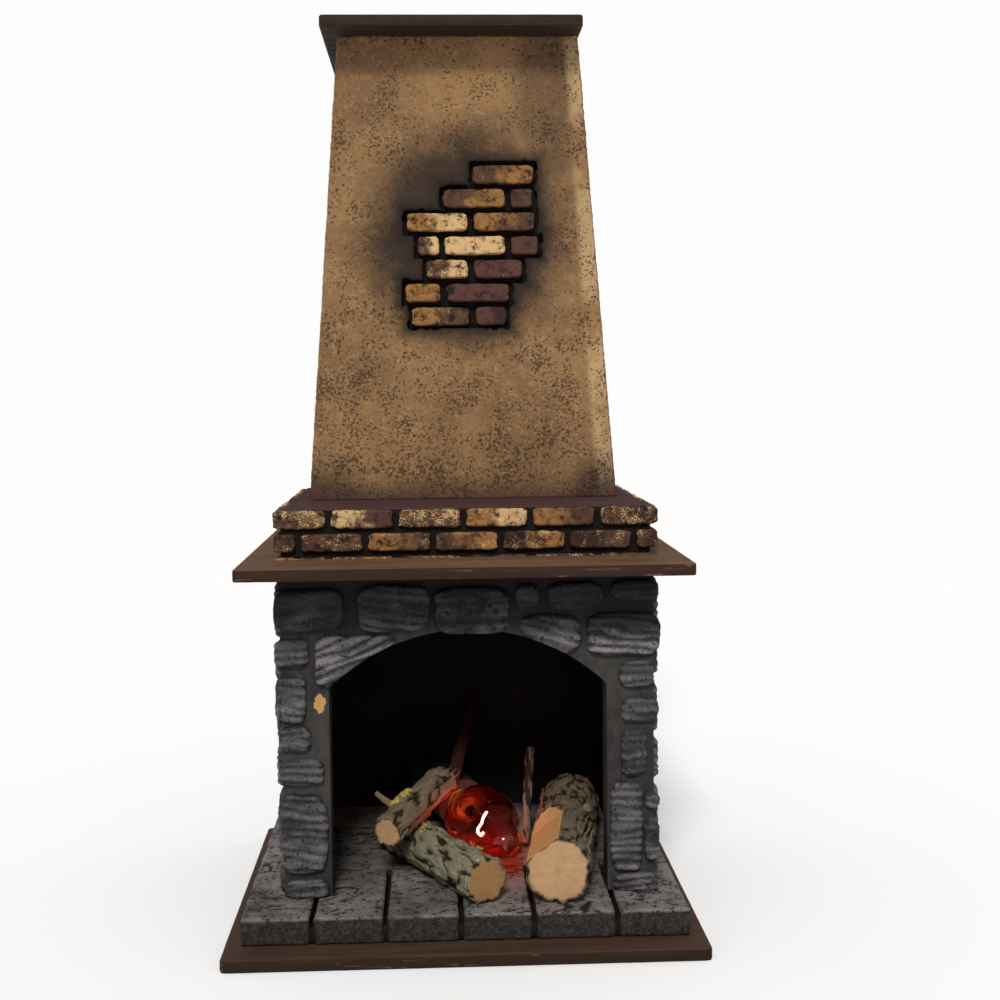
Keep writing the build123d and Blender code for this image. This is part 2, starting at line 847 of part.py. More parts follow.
def make_holder_end_cap():
    """Cap that closes the back of the holder, with the hollow neck where a cable goes in."""
    with BuildPart() as end_cap:
        with BuildSketch(along_lamp(holder_back)):
            Circle(holder_radius)
        extrude(amount=-end_cap_thickness)
        chamfer(end_cap.faces().sort_by(lamp_axis)[0].edges(), end_cap_chamfer)
        with BuildSketch(along_lamp(bracket_front)):
            Circle(nipple_radius)
        extrude(amount=-nipple_length)
        with BuildSketch(along_lamp(holder_back)):
            Circle(cable_bore_radius)
        extrude(amount=-end_cap_thickness - nipple_length, mode=Mode.SUBTRACT)
    return end_cap.part


def make_lock_nut():
    """Nut that clamps the bracket against the holder."""
    with BuildPart() as nut:
        with BuildSketch(along_lamp(bracket_back)):
            RegularPolygon(nut_across_flats / 2, 6, major_radius=False)
            Circle(nipple_radius, mode=Mode.SUBTRACT)
        extrude(amount=-nut_thickness)
    return nut.part


def make_bracket():
    """Angle bracket that stands on the hearth and holds the lampholder up."""
    rise = lamp_axis_z - hearth_top
    with BuildPart() as bracket:
        with BuildSketch(along_lamp(bracket_front)):
            with Locations((-bracket_shift, (bracket_top_margin - rise) / 2)):
                Rectangle(bracket_width, rise + bracket_top_margin)
            Circle(nipple_radius + bracket_hole_clearance, mode=Mode.SUBTRACT)
        extrude(amount=-bracket_thickness)
        with BuildSketch(foot_plane):
            with Locations((bracket_shift, -bracket_foot_length / 2)):
                Rectangle(bracket_width, bracket_foot_length)
            with Locations(*foot_screw_spots()):
                Circle(foot_screw_radius, mode=Mode.SUBTRACT)
        extrude(amount=bracket_thickness)
    return bracket.part


def make_bracket_screws():
    """Two screws through the bracket's foot into the hearth."""
    with BuildPart() as screws:
        with BuildSketch(foot_plane.offset(bracket_thickness)):
            with Locations(*foot_screw_spots()):
                Circle(foot_screw_head_radius)
        extrude(amount=foot_screw_head_height)
        with BuildSketch(foot_plane.offset(bracket_thickness)):
            with Locations(*foot_screw_spots()):
                Circle(foot_screw_radius)
        extrude(amount=-foot_screw_depth - bracket_thickness)
    return screws.part


def lampholder():
    """The lampholder with its contact, wiring room and bracket."""
    save(make_holder_body(), "lampholder_body")
    save(make_holder_sleeve(), "lampholder_sleeve")
    save(make_centre_contact(), "lampholder_centre_contact")
    save(make_contact_spring(), "lampholder_contact_spring")
    save(make_terminal_screws(), "lampholder_terminal_screws")
    save(make_holder_end_cap(), "lampholder_end_cap")
    save(make_lock_nut(), "lampholder_lock_nut")
    save(make_bracket(), "lampholder_bracket")
    save(make_bracket_screws(), "bracket_screws")


# ---------------------------------------------------------------- logs
def make_log(start, end, radius):
    """A round log between the middles of its two sawn ends."""
    with BuildPart() as log:
        with BuildSketch(Plane(origin=start, z_dir=end - start)):
            Circle(radius)
        extrude(amount=(end - start).length)
    return log.part


def on_hearth(spot, height):
    """A point above the hearth from its x and y."""
    return Vector(spot[0], spot[1], hearth_top + height)


def beside_lamp(ends, side):
    """Places seen from above, given from the lamp's left side (-1) or right side (1)."""
    return [(fire_x + side * lamp_radius + across, fire_y + back) for across, back in ends]


def crossing(lower_ends, upper_ends):
    """How far along the upper log, seen from above, it crosses the lower one."""
    (ax, ay), (bx, by) = lower_ends
    (cx, cy), (dx, dy) = upper_ends
    run = sqrt((dx - cx) ** 2 + (dy - cy) ** 2)
    across = (dx - cx) * (by - ay) - (dy - cy) * (bx - ax)
    return run * ((ax - cx) * (by - ay) - (ay - cy) * (bx - ax)) / across


def logs():
    """Three logs, a stick and a strip of bark on the hearth."""
    right_ends = [on_hearth(spot, right_log_radius) for spot in beside_lamp(right_log_ends, 1)]
    save(make_log(*right_ends, right_log_radius), "right_log")
    front_spots = beside_lamp(front_log_ends, -1)
    save(make_log(*[on_hearth(spot, front_log_radius) for spot in front_spots], front_log_radius),
         "front_left_log")
    upper_spots = beside_lamp(upper_log_ends, -1)
    stacked = (front_log_radius + upper_log_radius + log_gap) * sqrt(1 + upper_log_slope ** 2)
    start_height = front_log_radius + stacked - upper_log_slope * crossing(front_spots, upper_spots)
    (cx, cy), (dx, dy) = upper_spots
    climb = upper_log_slope * sqrt((dx - cx) ** 2 + (dy - cy) ** 2)
    upper_ends = on_hearth((cx, cy), start_height), on_hearth((dx, dy), start_height + climb)
    save(make_log(*upper_ends, upper_log_radius), "upper_left_log")
    stick_foot, stick_top = beside_lamp(stick_ends, 1)
    save(make_log(on_hearth(stick_foot, stick_radius), on_hearth(stick_top, stick_rise), stick_radius),
         "stick")
    bark_front, bark_back = beside_lamp(bark_ends, -1)
    bark_rest = lamp_axis_z - hearth_top + holder_radius + log_gap
    bark_start = on_hearth(bark_front, bark_rest)
    bark_end = on_hearth(bark_back, bark_rest + bark_rise)
    with BuildPart() as bark:
        with BuildSketch(Plane(origin=bark_start, x_dir=(1, 0, 0), z_dir=bark_end - bark_start)):
            with Locations((0, -bark_thickness)):
                Rectangle(bark_width, bark_thickness)
        extrude(amount=(bark_end - bark_start).length)
    save(bark.part, "bark_strip")


# ---------------------------------------------------------------- the whole fireplace
save(make_board(base_width, 0, front_y, 0), "base_board")
hearth_blocks()
save(make_arch_panel(), "arch_panel")
save(make_side_panel(-1), "left_side_panel")
save(make_side_panel(1), "right_side_panel")
save(make_back_panel(), "back_panel")
front_stones()
save(make_side_stones(-1), "left_side_stones")
save(make_side_stones(1), "right_side_stones")
shelf_front = surround_front - shelf_front_overhang
save(make_board(shelf_width, shelf_shift, shelf_front, surround_top), "mantel_shelf")
ledge()
hood()
lamp()
lampholder()
logs()
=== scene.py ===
"""Finish of the miniature stone fireplace: carved stones, old bricks, pitted plaster, logs and a red lamp.

Metres, in the frame of the model: +X to the viewer's right, +Y to the back wall, +Z up.
"""
import json
import math

import bmesh
import bpy
from mathutils import Euler, Matrix, Vector, noise


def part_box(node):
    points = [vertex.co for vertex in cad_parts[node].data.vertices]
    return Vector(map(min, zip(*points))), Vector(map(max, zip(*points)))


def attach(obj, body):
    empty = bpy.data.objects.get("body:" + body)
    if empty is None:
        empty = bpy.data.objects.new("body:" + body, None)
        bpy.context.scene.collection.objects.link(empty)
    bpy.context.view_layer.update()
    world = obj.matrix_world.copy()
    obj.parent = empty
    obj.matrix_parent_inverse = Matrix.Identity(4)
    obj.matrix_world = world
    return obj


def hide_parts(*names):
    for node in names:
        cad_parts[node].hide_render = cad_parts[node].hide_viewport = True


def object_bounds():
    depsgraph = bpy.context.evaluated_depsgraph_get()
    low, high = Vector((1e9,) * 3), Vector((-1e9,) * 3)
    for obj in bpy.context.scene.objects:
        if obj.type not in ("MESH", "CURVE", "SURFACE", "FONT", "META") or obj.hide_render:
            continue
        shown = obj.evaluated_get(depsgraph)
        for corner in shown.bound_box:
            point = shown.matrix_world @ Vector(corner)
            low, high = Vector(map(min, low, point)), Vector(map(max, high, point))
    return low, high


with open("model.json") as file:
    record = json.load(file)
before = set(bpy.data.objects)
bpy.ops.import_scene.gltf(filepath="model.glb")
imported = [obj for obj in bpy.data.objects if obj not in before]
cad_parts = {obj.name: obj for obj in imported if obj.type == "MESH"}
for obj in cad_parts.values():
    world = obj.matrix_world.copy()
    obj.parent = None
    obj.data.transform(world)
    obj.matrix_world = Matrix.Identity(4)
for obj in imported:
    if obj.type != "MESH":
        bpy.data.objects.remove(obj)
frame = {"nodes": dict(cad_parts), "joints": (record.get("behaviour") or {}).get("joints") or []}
cad_low, cad_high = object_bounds()

MM = 0.001

# ---------------------------------------------------------------- sizes of the finish
STONE_STEP = 0.9 * MM
SIDE_STONE_STEP = 1.3 * MM
STONE_EDGE = 2.2 * MM
STONE_SINK = 2.6 * MM
ARCH_CLEARANCE = 0.2 * MM
BRICK_STEP = 0.75 * MM
BRICK_EDGE = 1.1 * MM
HEARTH_STEP = 1.5 * MM
HEARTH_EDGE = 1.3 * MM
GROUT_DEPTH = 5.0 * MM
GROUT_INSET = 1.5 * MM
BOARD_STEP = 3.0 * MM
BOARD_EDGE = 0.5 * MM
BOARD_CORNER = 3.0 * MM
PLASTER_STEP = 1.0 * MM
PLASTER_SIDE_STEP = 1.5 * MM
PLASTER_WALL = 4.6 * MM
PLASTER_CORNER = 1.6 * MM
HOLE_MARGIN = 1.5 * MM
# reach of the painted shade round the broken edge of the hole
HOLE_SHADE_REACH = 8.0 * MM
HOLE_EDGE = 1.6 * MM
HOLE_EDGE_SINK = 0.9 * MM
HALO_LEFT, HALO_UP = 4 * MM, 5 * MM
HALO_WIDER, HALO_DEEP, HALO_TALLER = 19 * MM, 90 * MM, 15 * MM
FOOT_SMEAR = (30 * MM, 1.0, 24 * MM)
TOP_SMEAR = (15 * MM, 90 * MM, 55 * MM)
TOP_SMEAR_INSET = 34 * MM
CHIP_FROM_LEFT, CHIP_FROM_TOP = 17.0 * MM, 59.7 * MM
CHIP_SIZE = (3.0 * MM, 7.0 * MM, 4.2 * MM)
RING_PITCH = 1.15 * MM
THIRD_COURSE_GAP = 2.4 * MM
GLASS_WALL = 0.7 * MM
LOG_STEP = 1.2 * MM
LOG_SEGMENTS = 110
LAMP_SEGMENTS = 96
WELD = 0.002 * MM
BARK_SHARE = 0.14
THIN_BARK_SHARE = 0.08
BARK_EDGE_SHADE = 0.2
WIRE_RADIUS = 0.55 * MM
WIRE_BENDS = ((3.4, 4.5), (1.8, 2.2), (1.0, -0.8), (-1.2, -3.4), (-1.0, -5.6), (0.6, -7.0), (1.6, -5.8))


# ---------------------------------------------------------------- colours
def paint(red, green, blue):
    """A colour as a paint chart gives it, 0 to 255, turned into linear light."""
    return (*[((part / 255 + 0.055) / 1.055) ** 2.4 for part in (red, green, blue)], 1.0)


SLATE = paint(25, 24, 27)
STONE_GREY = paint(76, 74, 76)
STONE_PALE = paint(118, 115, 114)
MORTAR_GREY = paint(58, 56, 54)
TAN = paint(136, 104, 70)
TAN_LIGHT = paint(158, 125, 88)
TAN_BROWN = paint(112, 85, 58)
FLECK_BROWN = paint(56, 40, 27)
SOOT = paint(38, 31, 27)
# purple brown of the painted shade along the hood's foot
FOOT_SHADE_PURPLE = paint(66, 45, 42)
OCHRE = paint(136, 95, 52)
CREAM = paint(190, 156, 110)
MAROON = paint(80, 50, 44)
BRICK_BROWN = paint(78, 55, 40)
BRICK_DARK = paint(50, 33, 27)
JOINT_BLACK = paint(22, 18, 16)
LEDGE_PURPLE = paint(78, 52, 54)
HEARTH_GREY = paint(160, 155, 151)
BOARD_BROWN = paint(84, 62, 48)
BOARD_TAN = paint(122, 94, 72)
BOARD_DARK = paint(34, 25, 20)
WOOD_PALE = paint(182, 149, 114)
WOOD_TAN = paint(152, 118, 82)
WOOD_YELLOW = paint(214, 166, 104)
WOOD_RING = paint(118, 84, 54)
BARK_GREY = paint(112, 104, 88)
BARK_GREEN = paint(124, 120, 96)
BARK_BROWN = paint(96, 76, 58)
BARK_DARK = paint(38, 32, 26)
LICHEN_YELLOW = paint(196, 176, 84)
LICHEN_PALE = paint(186, 190, 170)
BARE_ORANGE = paint(206, 158, 104)
LAMP_RED = (0.96, 0.64, 0.60, 1.0)
LAMP_RED_DEEP = (0.95, 0.13, 0.08, 1.0)
GLOW_ORANGE = (1.0, 0.33, 0.13, 1.0)
WIRE_GLOW = 30.0
GLASS_IOR = 1.45
STEM_IOR = 1.5
# near black steel: painted shade of the firebox on the bright steel bracket
SHADE_DARK_STEEL = paint(34, 32, 31)
BRASS_YELLOW = paint(190, 156, 92)
STEEL_GREY = paint(168, 168, 172)
HOLDER_BLACK = paint(30, 29, 29)
FLOOR_PALE = (0.955, 0.965, 0.975, 1.0)


# ---------------------------------------------------------------- node shorthand
def give(tree, socket, value):
    """Link a value into a socket, or set it there when it is a plain one."""
    if isinstance(value, bpy.types.NodeSocket):
        tree.links.new(value, socket)
    else:
        socket.default_value = value


def add_node(tree, kind, inputs=None, **settings):
    """Add a shader node, with its settings, and its inputs as values or as links."""
    made = tree.nodes.new(kind)
    for name, value in settings.items():
        setattr(made, name, value)
    for name, value in (inputs or {}).items():
        give(tree, made.inputs[name], value)
    return made


def calc(tree, operation, first, second=0.0):
    """One step of arithmetic on values."""
    return add_node(tree, "ShaderNodeMath", {0: first, 1: second}, operation=operation).outputs[0]


def plus(tree, first, second):
    """Two values added."""
    return calc(tree, "ADD", first, second)


def less(tree, first, second):
    """The second value taken from the first."""
    return calc(tree, "SUBTRACT", first, second)


def times(tree, first, second):
    """Two values multiplied."""
    return calc(tree, "MULTIPLY", first, second)


def mix(tree, share, first, second):
    """Mix two colours."""
    return add_node(tree, "ShaderNodeMix", {0: share, 6: first, 7: second}, data_type="RGBA").outputs[2]


def rise(tree, value, start, end):
    """A soft step from 0 to 1 as a value goes from start to end."""
    made = add_node(tree, "ShaderNodeMapRange", {"Value": value, "From Min": start, "From Max": end},
                    interpolation_type="SMOOTHSTEP")
    return made.outputs[0]


def cloud(tree, vector, scale, detail=4.0, roughness=0.55, distortion=0.0):
    """Cloudy noise from 0 to 1."""
    made = add_node(tree, "ShaderNodeTexNoise", {"Vector": vector, "Scale": scale, "Detail": detail,
                                                 "Roughness": roughness, "Distortion": distortion})
    return made.outputs[0]


def place(tree):
    """The spot on the object, in metres."""
    return add_node(tree, "ShaderNodeTexCoord").outputs["Object"]


def kept_value(tree, name):
    """A value stored on the mesh."""
    return add_node(tree, "ShaderNodeAttribute", attribute_name=name).outputs["Fac"]


def kept_colour(tree, name):
    """A colour stored on the mesh."""
    return add_node(tree, "ShaderNodeAttribute", attribute_name=name).outputs["Color"]


def centred(tree, centre, size):
    """The spot seen from a centre, counted in the patch's own sizes."""
    made = add_node(tree, "ShaderNodeMapping", {"Vector": place(tree), "Location": centre, "Scale": size},
                    vector_type="TEXTURE")
    return made.outputs[0]


def reach(tree, vector):
    """Distance from the middle of a centred patch."""
    return add_node(tree, "ShaderNodeVectorMath", {0: vector}, operation="LENGTH").outputs["Value"]


def new_group(name, inputs, outputs):
    """An empty node group with named inputs and outputs."""
    tree = bpy.data.node_groups.new(name, "ShaderNodeTree")
    for label, kind, value in inputs:
        socket = tree.interface.new_socket(label, in_out="INPUT", socket_type=kind)
        if value is not None:
            socket.default_value = value
    for label, kind in outputs:
        tree.interface.new_socket(label, in_out="OUTPUT", socket_type=kind)
    return tree, tree.nodes.new("NodeGroupInput").outputs, tree.nodes.new("NodeGroupOutput").inputs


COLOUR, VALUE, VECTOR = "NodeSocketColor", "NodeSocketFloat", "NodeSocketVector"


def make_speckle_group():
    """Paint that has caught on the rough spots only: a broken mask of small specks."""
    tree, given, out = new_group("caught_paint", [("Vector", VECTOR, None), ("Size", VALUE, 900.0),
                                                  ("Cover", VALUE, 0.5)], [("Mask", VALUE)])
    fine = cloud(tree, given["Vector"], given["Size"], 3.0, 0.7)
    broad = cloud(tree, given["Vector"], times(tree, given["Size"], 0.13), 3.0, 0.6)
    both = plus(tree, times(tree, fine, 0.62), times(tree, broad, 0.38))
    edge = less(tree, 0.78, times(tree, given["Cover"], 0.56))
    tree.links.new(rise(tree, both, edge, plus(tree, edge, 0.05)), out["Mask"])
    return tree


def make_brush_group():
    """Dry-brushing: a pale paint that stays on what stands out, over a darker paint."""
    tree, given, out = new_group("dry_brushing", [
        ("Vector", VECTOR, None), ("Raised", VALUE, 0.5), ("Under", COLOUR, None), ("Over", COLOUR, None),
        ("Start", VALUE, 0.45), ("Size", VALUE, 700.0)], [("Color", COLOUR), ("Mask", VALUE)])
    streaks = cloud(tree, given["Vector"], given["Size"], 4.0, 0.65)
    broad = cloud(tree, given["Vector"], times(tree, given["Size"], 0.08), 3.0, 0.5)
    level = plus(tree, given["Raised"], times(tree, less(tree, streaks, 0.5), 0.7))
    level = plus(tree, level, times(tree, less(tree, broad, 0.5), 0.5))
    mask = rise(tree, level, given["Start"], plus(tree, given["Start"], 0.38))
    tree.links.new(mix(tree, mask, given["Under"], given["Over"]), out["Color"])
    tree.links.new(mask, out["Mask"])
    return tree


def make_pits_group():
    """Small pits and scratches, as a mask and as a height."""
    tree, given, out = new_group("pits", [("Vector", VECTOR, None), ("Size", VALUE, 500.0), ("Share", VALUE, 0.4)],
                                 [("Mask", VALUE), ("Height", VALUE)])
    warp = add_node(tree, "ShaderNodeTexNoise", {"Vector": given["Vector"], "Scale": given["Size"], "Detail": 2.0})
    shifted = add_node(tree, "ShaderNodeVectorMath", {0: warp.outputs["Color"], 1: (0.004, 0.004, 0.004)},
                       operation="MULTIPLY").outputs[0]
    spot = add_node(tree, "ShaderNodeVectorMath", {0: given["Vector"], 1: shifted}, operation="ADD").outputs[0]
    cells = add_node(tree, "ShaderNodeTexVoronoi", {"Vector": spot, "Scale": given["Size"]})
    chosen = cloud(tree, given["Vector"], times(tree, given["Size"], 0.35), 3.0, 0.6)
    size = times(tree, rise(tree, chosen, 0.62, 0.36), given["Share"])
    mask = rise(tree, less(tree, size, cells.outputs["Distance"]), -0.05, 0.12)
    tree.links.new(mask, out["Mask"])
    tree.links.new(less(tree, cloud(tree, given["Vector"], given["Size"], 4.0, 0.6),
                        times(tree, mask, 0.8)), out["Height"])
    return tree


def make_grain_group():
    """Wood grain that runs along X of the vector it is given."""
    tree, given, out = new_group("wood_grain", [("Vector", VECTOR, None), ("Size", VALUE, 260.0)],
                                 [("Mask", VALUE)])
    stretched = add_node(tree, "ShaderNodeMapping", {"Vector": given["Vector"],
                                                     "Scale": (0.06, 1.0, 1.0)}).outputs[0]
    fibre = cloud(tree, stretched, given["Size"], 5.0, 0.7, 0.6)
    bands = cloud(tree, stretched, times(tree, given["Size"], 0.22), 2.0, 0.5, 1.5)
    joined = plus(tree, times(tree, fibre, 0.6), times(tree, bands, 0.4))
    tree.links.new(rise(tree, joined, 0.36, 0.66), out["Mask"])
    return tree


SPECKLE = make_speckle_group()
BRUSH = make_brush_group()
PITS = make_pits_group()
GRAIN = make_grain_group()


def fill(tree, group, inputs):
    """Place a node group and give it its inputs."""
    return add_node(tree, "ShaderNodeGroup", inputs, node_tree=group).outputs


def new_material(name):
    """A material with an empty Principled shader, its tree and the spot on the object."""
    material = bpy.data.materials.new(name)
    material.use_nodes = True
    tree = material.node_tree
    return material, tree, tree.nodes["Principled BSDF"], place(tree)


def dress(tree, shader, colour, roughness, height=None, depth=0.3, distance=0.3 * MM, specular=0.12):
    """Give a shader its colour, roughness and bump."""
    give(tree, shader.inputs["Base Color"], colour)
    give(tree, shader.inputs["Roughness"], roughness)
    shader.inputs["Specular IOR Level"].default_value = specular
    if height is not None:
        bump = add_node(tree, "ShaderNodeBump", {"Strength": depth, "Distance": distance, "Height": height})
        tree.links.new(bump.outputs[0], shader.inputs["Normal"])


# ---------------------------------------------------------------- materials
def stone_material():
    """Carved stone: slate black in the grooves, grey and pale grey brushed over what stands out."""
    material, tree, shader, spot = new_material("carved_stone")
    # tone darkens every paint layer: the stone's own tone and the painted shadow of the shelf
    tone = kept_value(tree, "tone")
    under = mix(tree, times(tree, cloud(tree, spot, 90.0), tone), SLATE, paint(60, 57, 58))
    grey = mix(tree, tone, paint(38, 37, 41), STONE_GREY)
    lightest = mix(tree, tone, paint(50, 48, 52), STONE_PALE)
    brushed = fill(tree, BRUSH, {"Vector": spot, "Raised": kept_value(tree, "raised"), "Under": under, "Over": grey,
                                 "Start": 0.30, "Size": 620.0})
    pale = fill(tree, BRUSH, {"Vector": spot, "Raised": kept_value(tree, "raised"), "Under": brushed["Color"],
                              "Over": lightest, "Start": 0.50, "Size": 900.0})
    pits = fill(tree, PITS, {"Vector": spot, "Size": 420.0, "Share": 0.42})
    colour = mix(tree, times(tree, pits["Mask"], 0.75), pale["Color"], SLATE)
    dress(tree, shader, colour, plus(tree, 0.62, times(tree, pale["Mask"], 0.2)),
          pits["Height"], 0.55, 0.5 * MM)
    return material


def panel_material(box):
    """Painted board of the surround: grey rubbed over black, with one bare chip beside the arch."""
    material, tree, shader, spot = new_material("painted_surround")
    streaked = add_node(tree, "ShaderNodeMapping", {"Vector": spot, "Scale": (1.0, 1.0, 0.35)}).outputs[0]
    rub = cloud(tree, streaked, 60.0, 6.0, 0.6)
    brushed = fill(tree, BRUSH, {"Vector": streaked, "Raised": rub, "Under": paint(42, 40, 39), "Over": MORTAR_GREY,
                                 "Start": 0.30, "Size": 500.0})
    low, high = box
    # darker towards the top: painted shadow of the shelf on the panel
    height = add_node(tree, "ShaderNodeSeparateXYZ", {0: spot}).outputs["Z"]
    shaded = mix(tree, rise(tree, height, high.z - 30 * MM, high.z - 12 * MM), brushed["Color"], paint(30, 28, 28))
    chip_centre = (low.x + CHIP_FROM_LEFT, low.y, high.z - CHIP_FROM_TOP)
    chip = reach(tree, centred(tree, chip_centre, CHIP_SIZE))
    ragged = plus(tree, chip, times(tree, less(tree, cloud(tree, spot, 500.0), 0.5), 1.2))
    bare = rise(tree, ragged, 1.0, 0.8)
    grains = mix(tree, cloud(tree, spot, 1400.0, 2.0), paint(120, 84, 48), BARE_ORANGE)
    colour = mix(tree, bare, shaded, grains)
    dress(tree, shader, colour, 0.8, plus(tree, rub, cloud(tree, spot, 900.0)), 0.5, 0.5 * MM)
    return material


def firebox_material():
    """Inside of the firebox and the back of the model: black paint with a little dust."""
    material, tree, shader, spot = new_material("firebox_black")
    dust = rise(tree, cloud(tree, spot, 60.0, 6.0, 0.7), 0.5, 0.8)
    colour = mix(tree, dust, paint(16, 14, 15), paint(34, 31, 31))
    dress(tree, shader, colour, 0.85, cloud(tree, spot, 700.0, 5.0, 0.65), 0.4, 0.4 * MM, 0.2)
    return material


def plaster_material(front, patch):
    """Tan plaster with dark flecks in its pits, soot round the bricks and in the corners, and painted shade round
    the hole and along the foot.
    """
    material, tree, shader, spot = new_material("pitted_plaster")
    low, high = front
    broad = cloud(tree, spot, 22.0, 4.0, 0.6)
    colour = mix(tree, rise(tree, broad, 0.35, 0.65), TAN_BROWN, TAN)
    colour = mix(tree, times(tree, rise(tree, cloud(tree, spot, 300.0, 5.0, 0.75), 0.48, 0.7), 0.6),
                 colour, TAN_LIGHT)
    wobble = times(tree, less(tree, cloud(tree, spot, 60.0, 6.0, 0.7), 0.5), 1.1)
    middle = (patch[0] + patch[1]) / 2
    half = (patch[1] - patch[0]) / 2
    halo = reach(tree, centred(tree, (middle.x - HALO_LEFT, low.y, middle.z + HALO_UP),
                               (half.x + HALO_WIDER, HALO_DEEP, half.z + HALO_TALLER)))
    soot = rise(tree, plus(tree, halo, times(tree, wobble, 0.5)), 1.22, 0.62)
    strip = times(tree, rise(tree, kept_value(tree, "tone"), 0.925, 0.955),
                 rise(tree, cloud(tree, spot, 26.0, 4.0, 0.6), 0.36, 0.52))
    colour = mix(tree, times(tree, strip, 0.75), colour, paint(176, 148, 108))
    spots = [soot]
    for side in (-1, 1):
        corner = (low.x if side < 0 else high.x, low.y, low.z)
        smear = reach(tree, centred(tree, corner, FOOT_SMEAR))
        spots.append(times(tree, rise(tree, plus(tree, smear, wobble), 1.15, 0.35), 0.75))
    top_corner = (high.x - TOP_SMEAR_INSET, low.y, high.z - TOP_SMEAR_INSET)
    top_smear = reach(tree, centred(tree, top_corner, TOP_SMEAR))
    spots.append(times(tree, rise(tree, plus(tree, top_smear, wobble), 1.2, 0.5), 0.5))
    dark = spots[0]
    for smear in spots[1:]:
        dark = calc(tree, "MAXIMUM", dark, smear)
    height_above_foot = add_node(tree, "ShaderNodeSeparateXYZ", {0: spot}).outputs["Z"]
    # painted shade along the hood's foot, where it meets the ledge, strongest at the bottom
    foot = times(tree, rise(tree, plus(tree, height_above_foot, times(tree, wobble, 6 * MM)),
                                       low.z + 13 * MM, low.z + 1 * MM), 0.7)
    colour = mix(tree, times(tree, dark, 0.9), colour, SOOT)
    colour = mix(tree, foot, colour, FOOT_SHADE_PURPLE)
    # painted shade: near black at the broken edge round the hole
    colour = mix(tree, times(tree, kept_value(tree, "rim"), 0.96), colour, JOINT_BLACK)
    thick = times(tree, less(tree, cloud(tree, spot, 70.0, 4.0, 0.6), 0.5), 0.5)
    lower = rise(tree, height_above_foot, low.z + 150 * MM, low.z + 20 * MM)
    thick = plus(tree, thick, less(tree, times(tree, lower, 0.05), 0.015))
    grain = cloud(tree, spot, 780.0, 3.0, 0.6, 0.3)
    fleck = rise(tree, plus(tree, grain, thick), 0.56, 0.62)
    fleck = calc(tree, "MAXIMUM", times(tree, fleck, 0.8),
                 times(tree, rise(tree, kept_value(tree, "raised"), 0.28, 0.12), 0.7))
    colour = mix(tree, fleck, colour, mix(tree, dark, FLECK_BROWN, SOOT))
    dress(tree, shader, colour, 0.88, less(tree, 1.0, grain), 0.7, 0.6 * MM, 0.2)
    return material


def brick_material():
    """Old brick: a body colour kept on each brick, specks of cream, and soot in the hollows."""
    material, tree, shader, spot = new_material("old_brick")
    body = kept_colour(tree, "body_colour")
    raised = kept_value(tree, "raised")
    colour = mix(tree, rise(tree, cloud(tree, spot, 520.0, 5.0, 0.75), 0.40, 0.62), body, BRICK_DARK)
    brushed = fill(tree, BRUSH, {"Vector": spot, "Raised": raised, "Under": colour, "Over": body,
                                 "Start": 0.36, "Size": 900.0})
    specks = fill(tree, SPECKLE, {"Vector": spot, "Size": 1500.0, "Cover": kept_value(tree, "cream")})
    colour = mix(tree, times(tree, specks["Mask"], rise(tree, raised, 0.25, 0.6)), brushed["Color"], CREAM)
    hollow = rise(tree, raised, 0.32, 0.08)
    colour = mix(tree, times(tree, hollow, 0.8), colour, JOINT_BLACK)
    dress(tree, shader, colour, 0.85, cloud(tree, spot, 1500.0, 4.0, 0.7), 0.5, 0.35 * MM, 0.2)
    return material


def mortar_material():
    """Ledge behind its bricks: black joints, purple brown where the top shows."""
    material, tree, shader, spot = new_material("ledge_mortar")
    up = add_node(tree, "ShaderNodeSeparateXYZ", {0: add_node(tree, "ShaderNodeNewGeometry").outputs["Normal"]})
    top = mix(tree, cloud(tree, spot, 160.0, 5.0, 0.7), paint(58, 40, 42), LEDGE_PURPLE)
    specks = fill(tree, SPECKLE, {"Vector": spot, "Size": 900.0, "Cover": 0.22})
    top = mix(tree, times(tree, specks["Mask"], 0.5), top, TAN_BROWN)
    colour = mix(tree, rise(tree, up.outputs["Z"], 0.3, 0.7), JOINT_BLACK, top)
    dress(tree, shader, colour, 0.9, cloud(tree, spot, 800.0, 5.0, 0.7), 0.5, 0.5 * MM, 0.15)
    return material


def joint_material():
    """Black of the joints, behind the patch's bricks and between the hearth blocks."""
    material, tree, shader, spot = new_material("joint_black")
    colour = mix(tree, cloud(tree, spot, 300.0, 5.0, 0.7), paint(16, 13, 12), paint(34, 28, 25))
    dress(tree, shader, colour, 0.95, cloud(tree, spot, 900.0, 5.0, 0.7), 0.6, 0.5 * MM, 0.1)
    return material


def hearth_material():
    """Rough hearth blocks: worn grey tops with black pits, and dark grainy sides."""
    material, tree, shader, spot = new_material("hearth_blocks")
    raised = kept_value(tree, "raised")
    dark = mix(tree, rise(tree, cloud(tree, spot, 420.0, 6.0, 0.8), 0.38, 0.66), paint(18, 15, 14),
               paint(58, 51, 47))
    patches = rise(tree, cloud(tree, spot, 26.0, 4.0, 0.65), 0.34, 0.62)
    top = mix(tree, patches, paint(112, 107, 104), HEARTH_GREY)
    worn = fill(tree, BRUSH, {"Vector": spot, "Raised": raised, "Under": paint(46, 42, 42), "Over": top,
                              "Start": 0.20, "Size": 520.0})
    up = times(tree, kept_value(tree, "upward"),
              add_node(tree, "ShaderNodeMath", {0: plus(tree, patches, 0.55)}, operation="MINIMUM").outputs[0])
    colour = mix(tree, up, dark, worn["Color"])
    pits = fill(tree, PITS, {"Vector": spot, "Size": 620.0, "Share": 0.55})
    colour = mix(tree, times(tree, pits["Mask"], 0.9), colour, paint(24, 20, 20))
    crack = rise(tree, raised, 0.22, 0.06)
    colour = mix(tree, crack, colour, paint(20, 17, 16))
    dress(tree, shader, colour, 0.78, pits["Height"], 0.7, 0.6 * MM, 0.3)
    return material


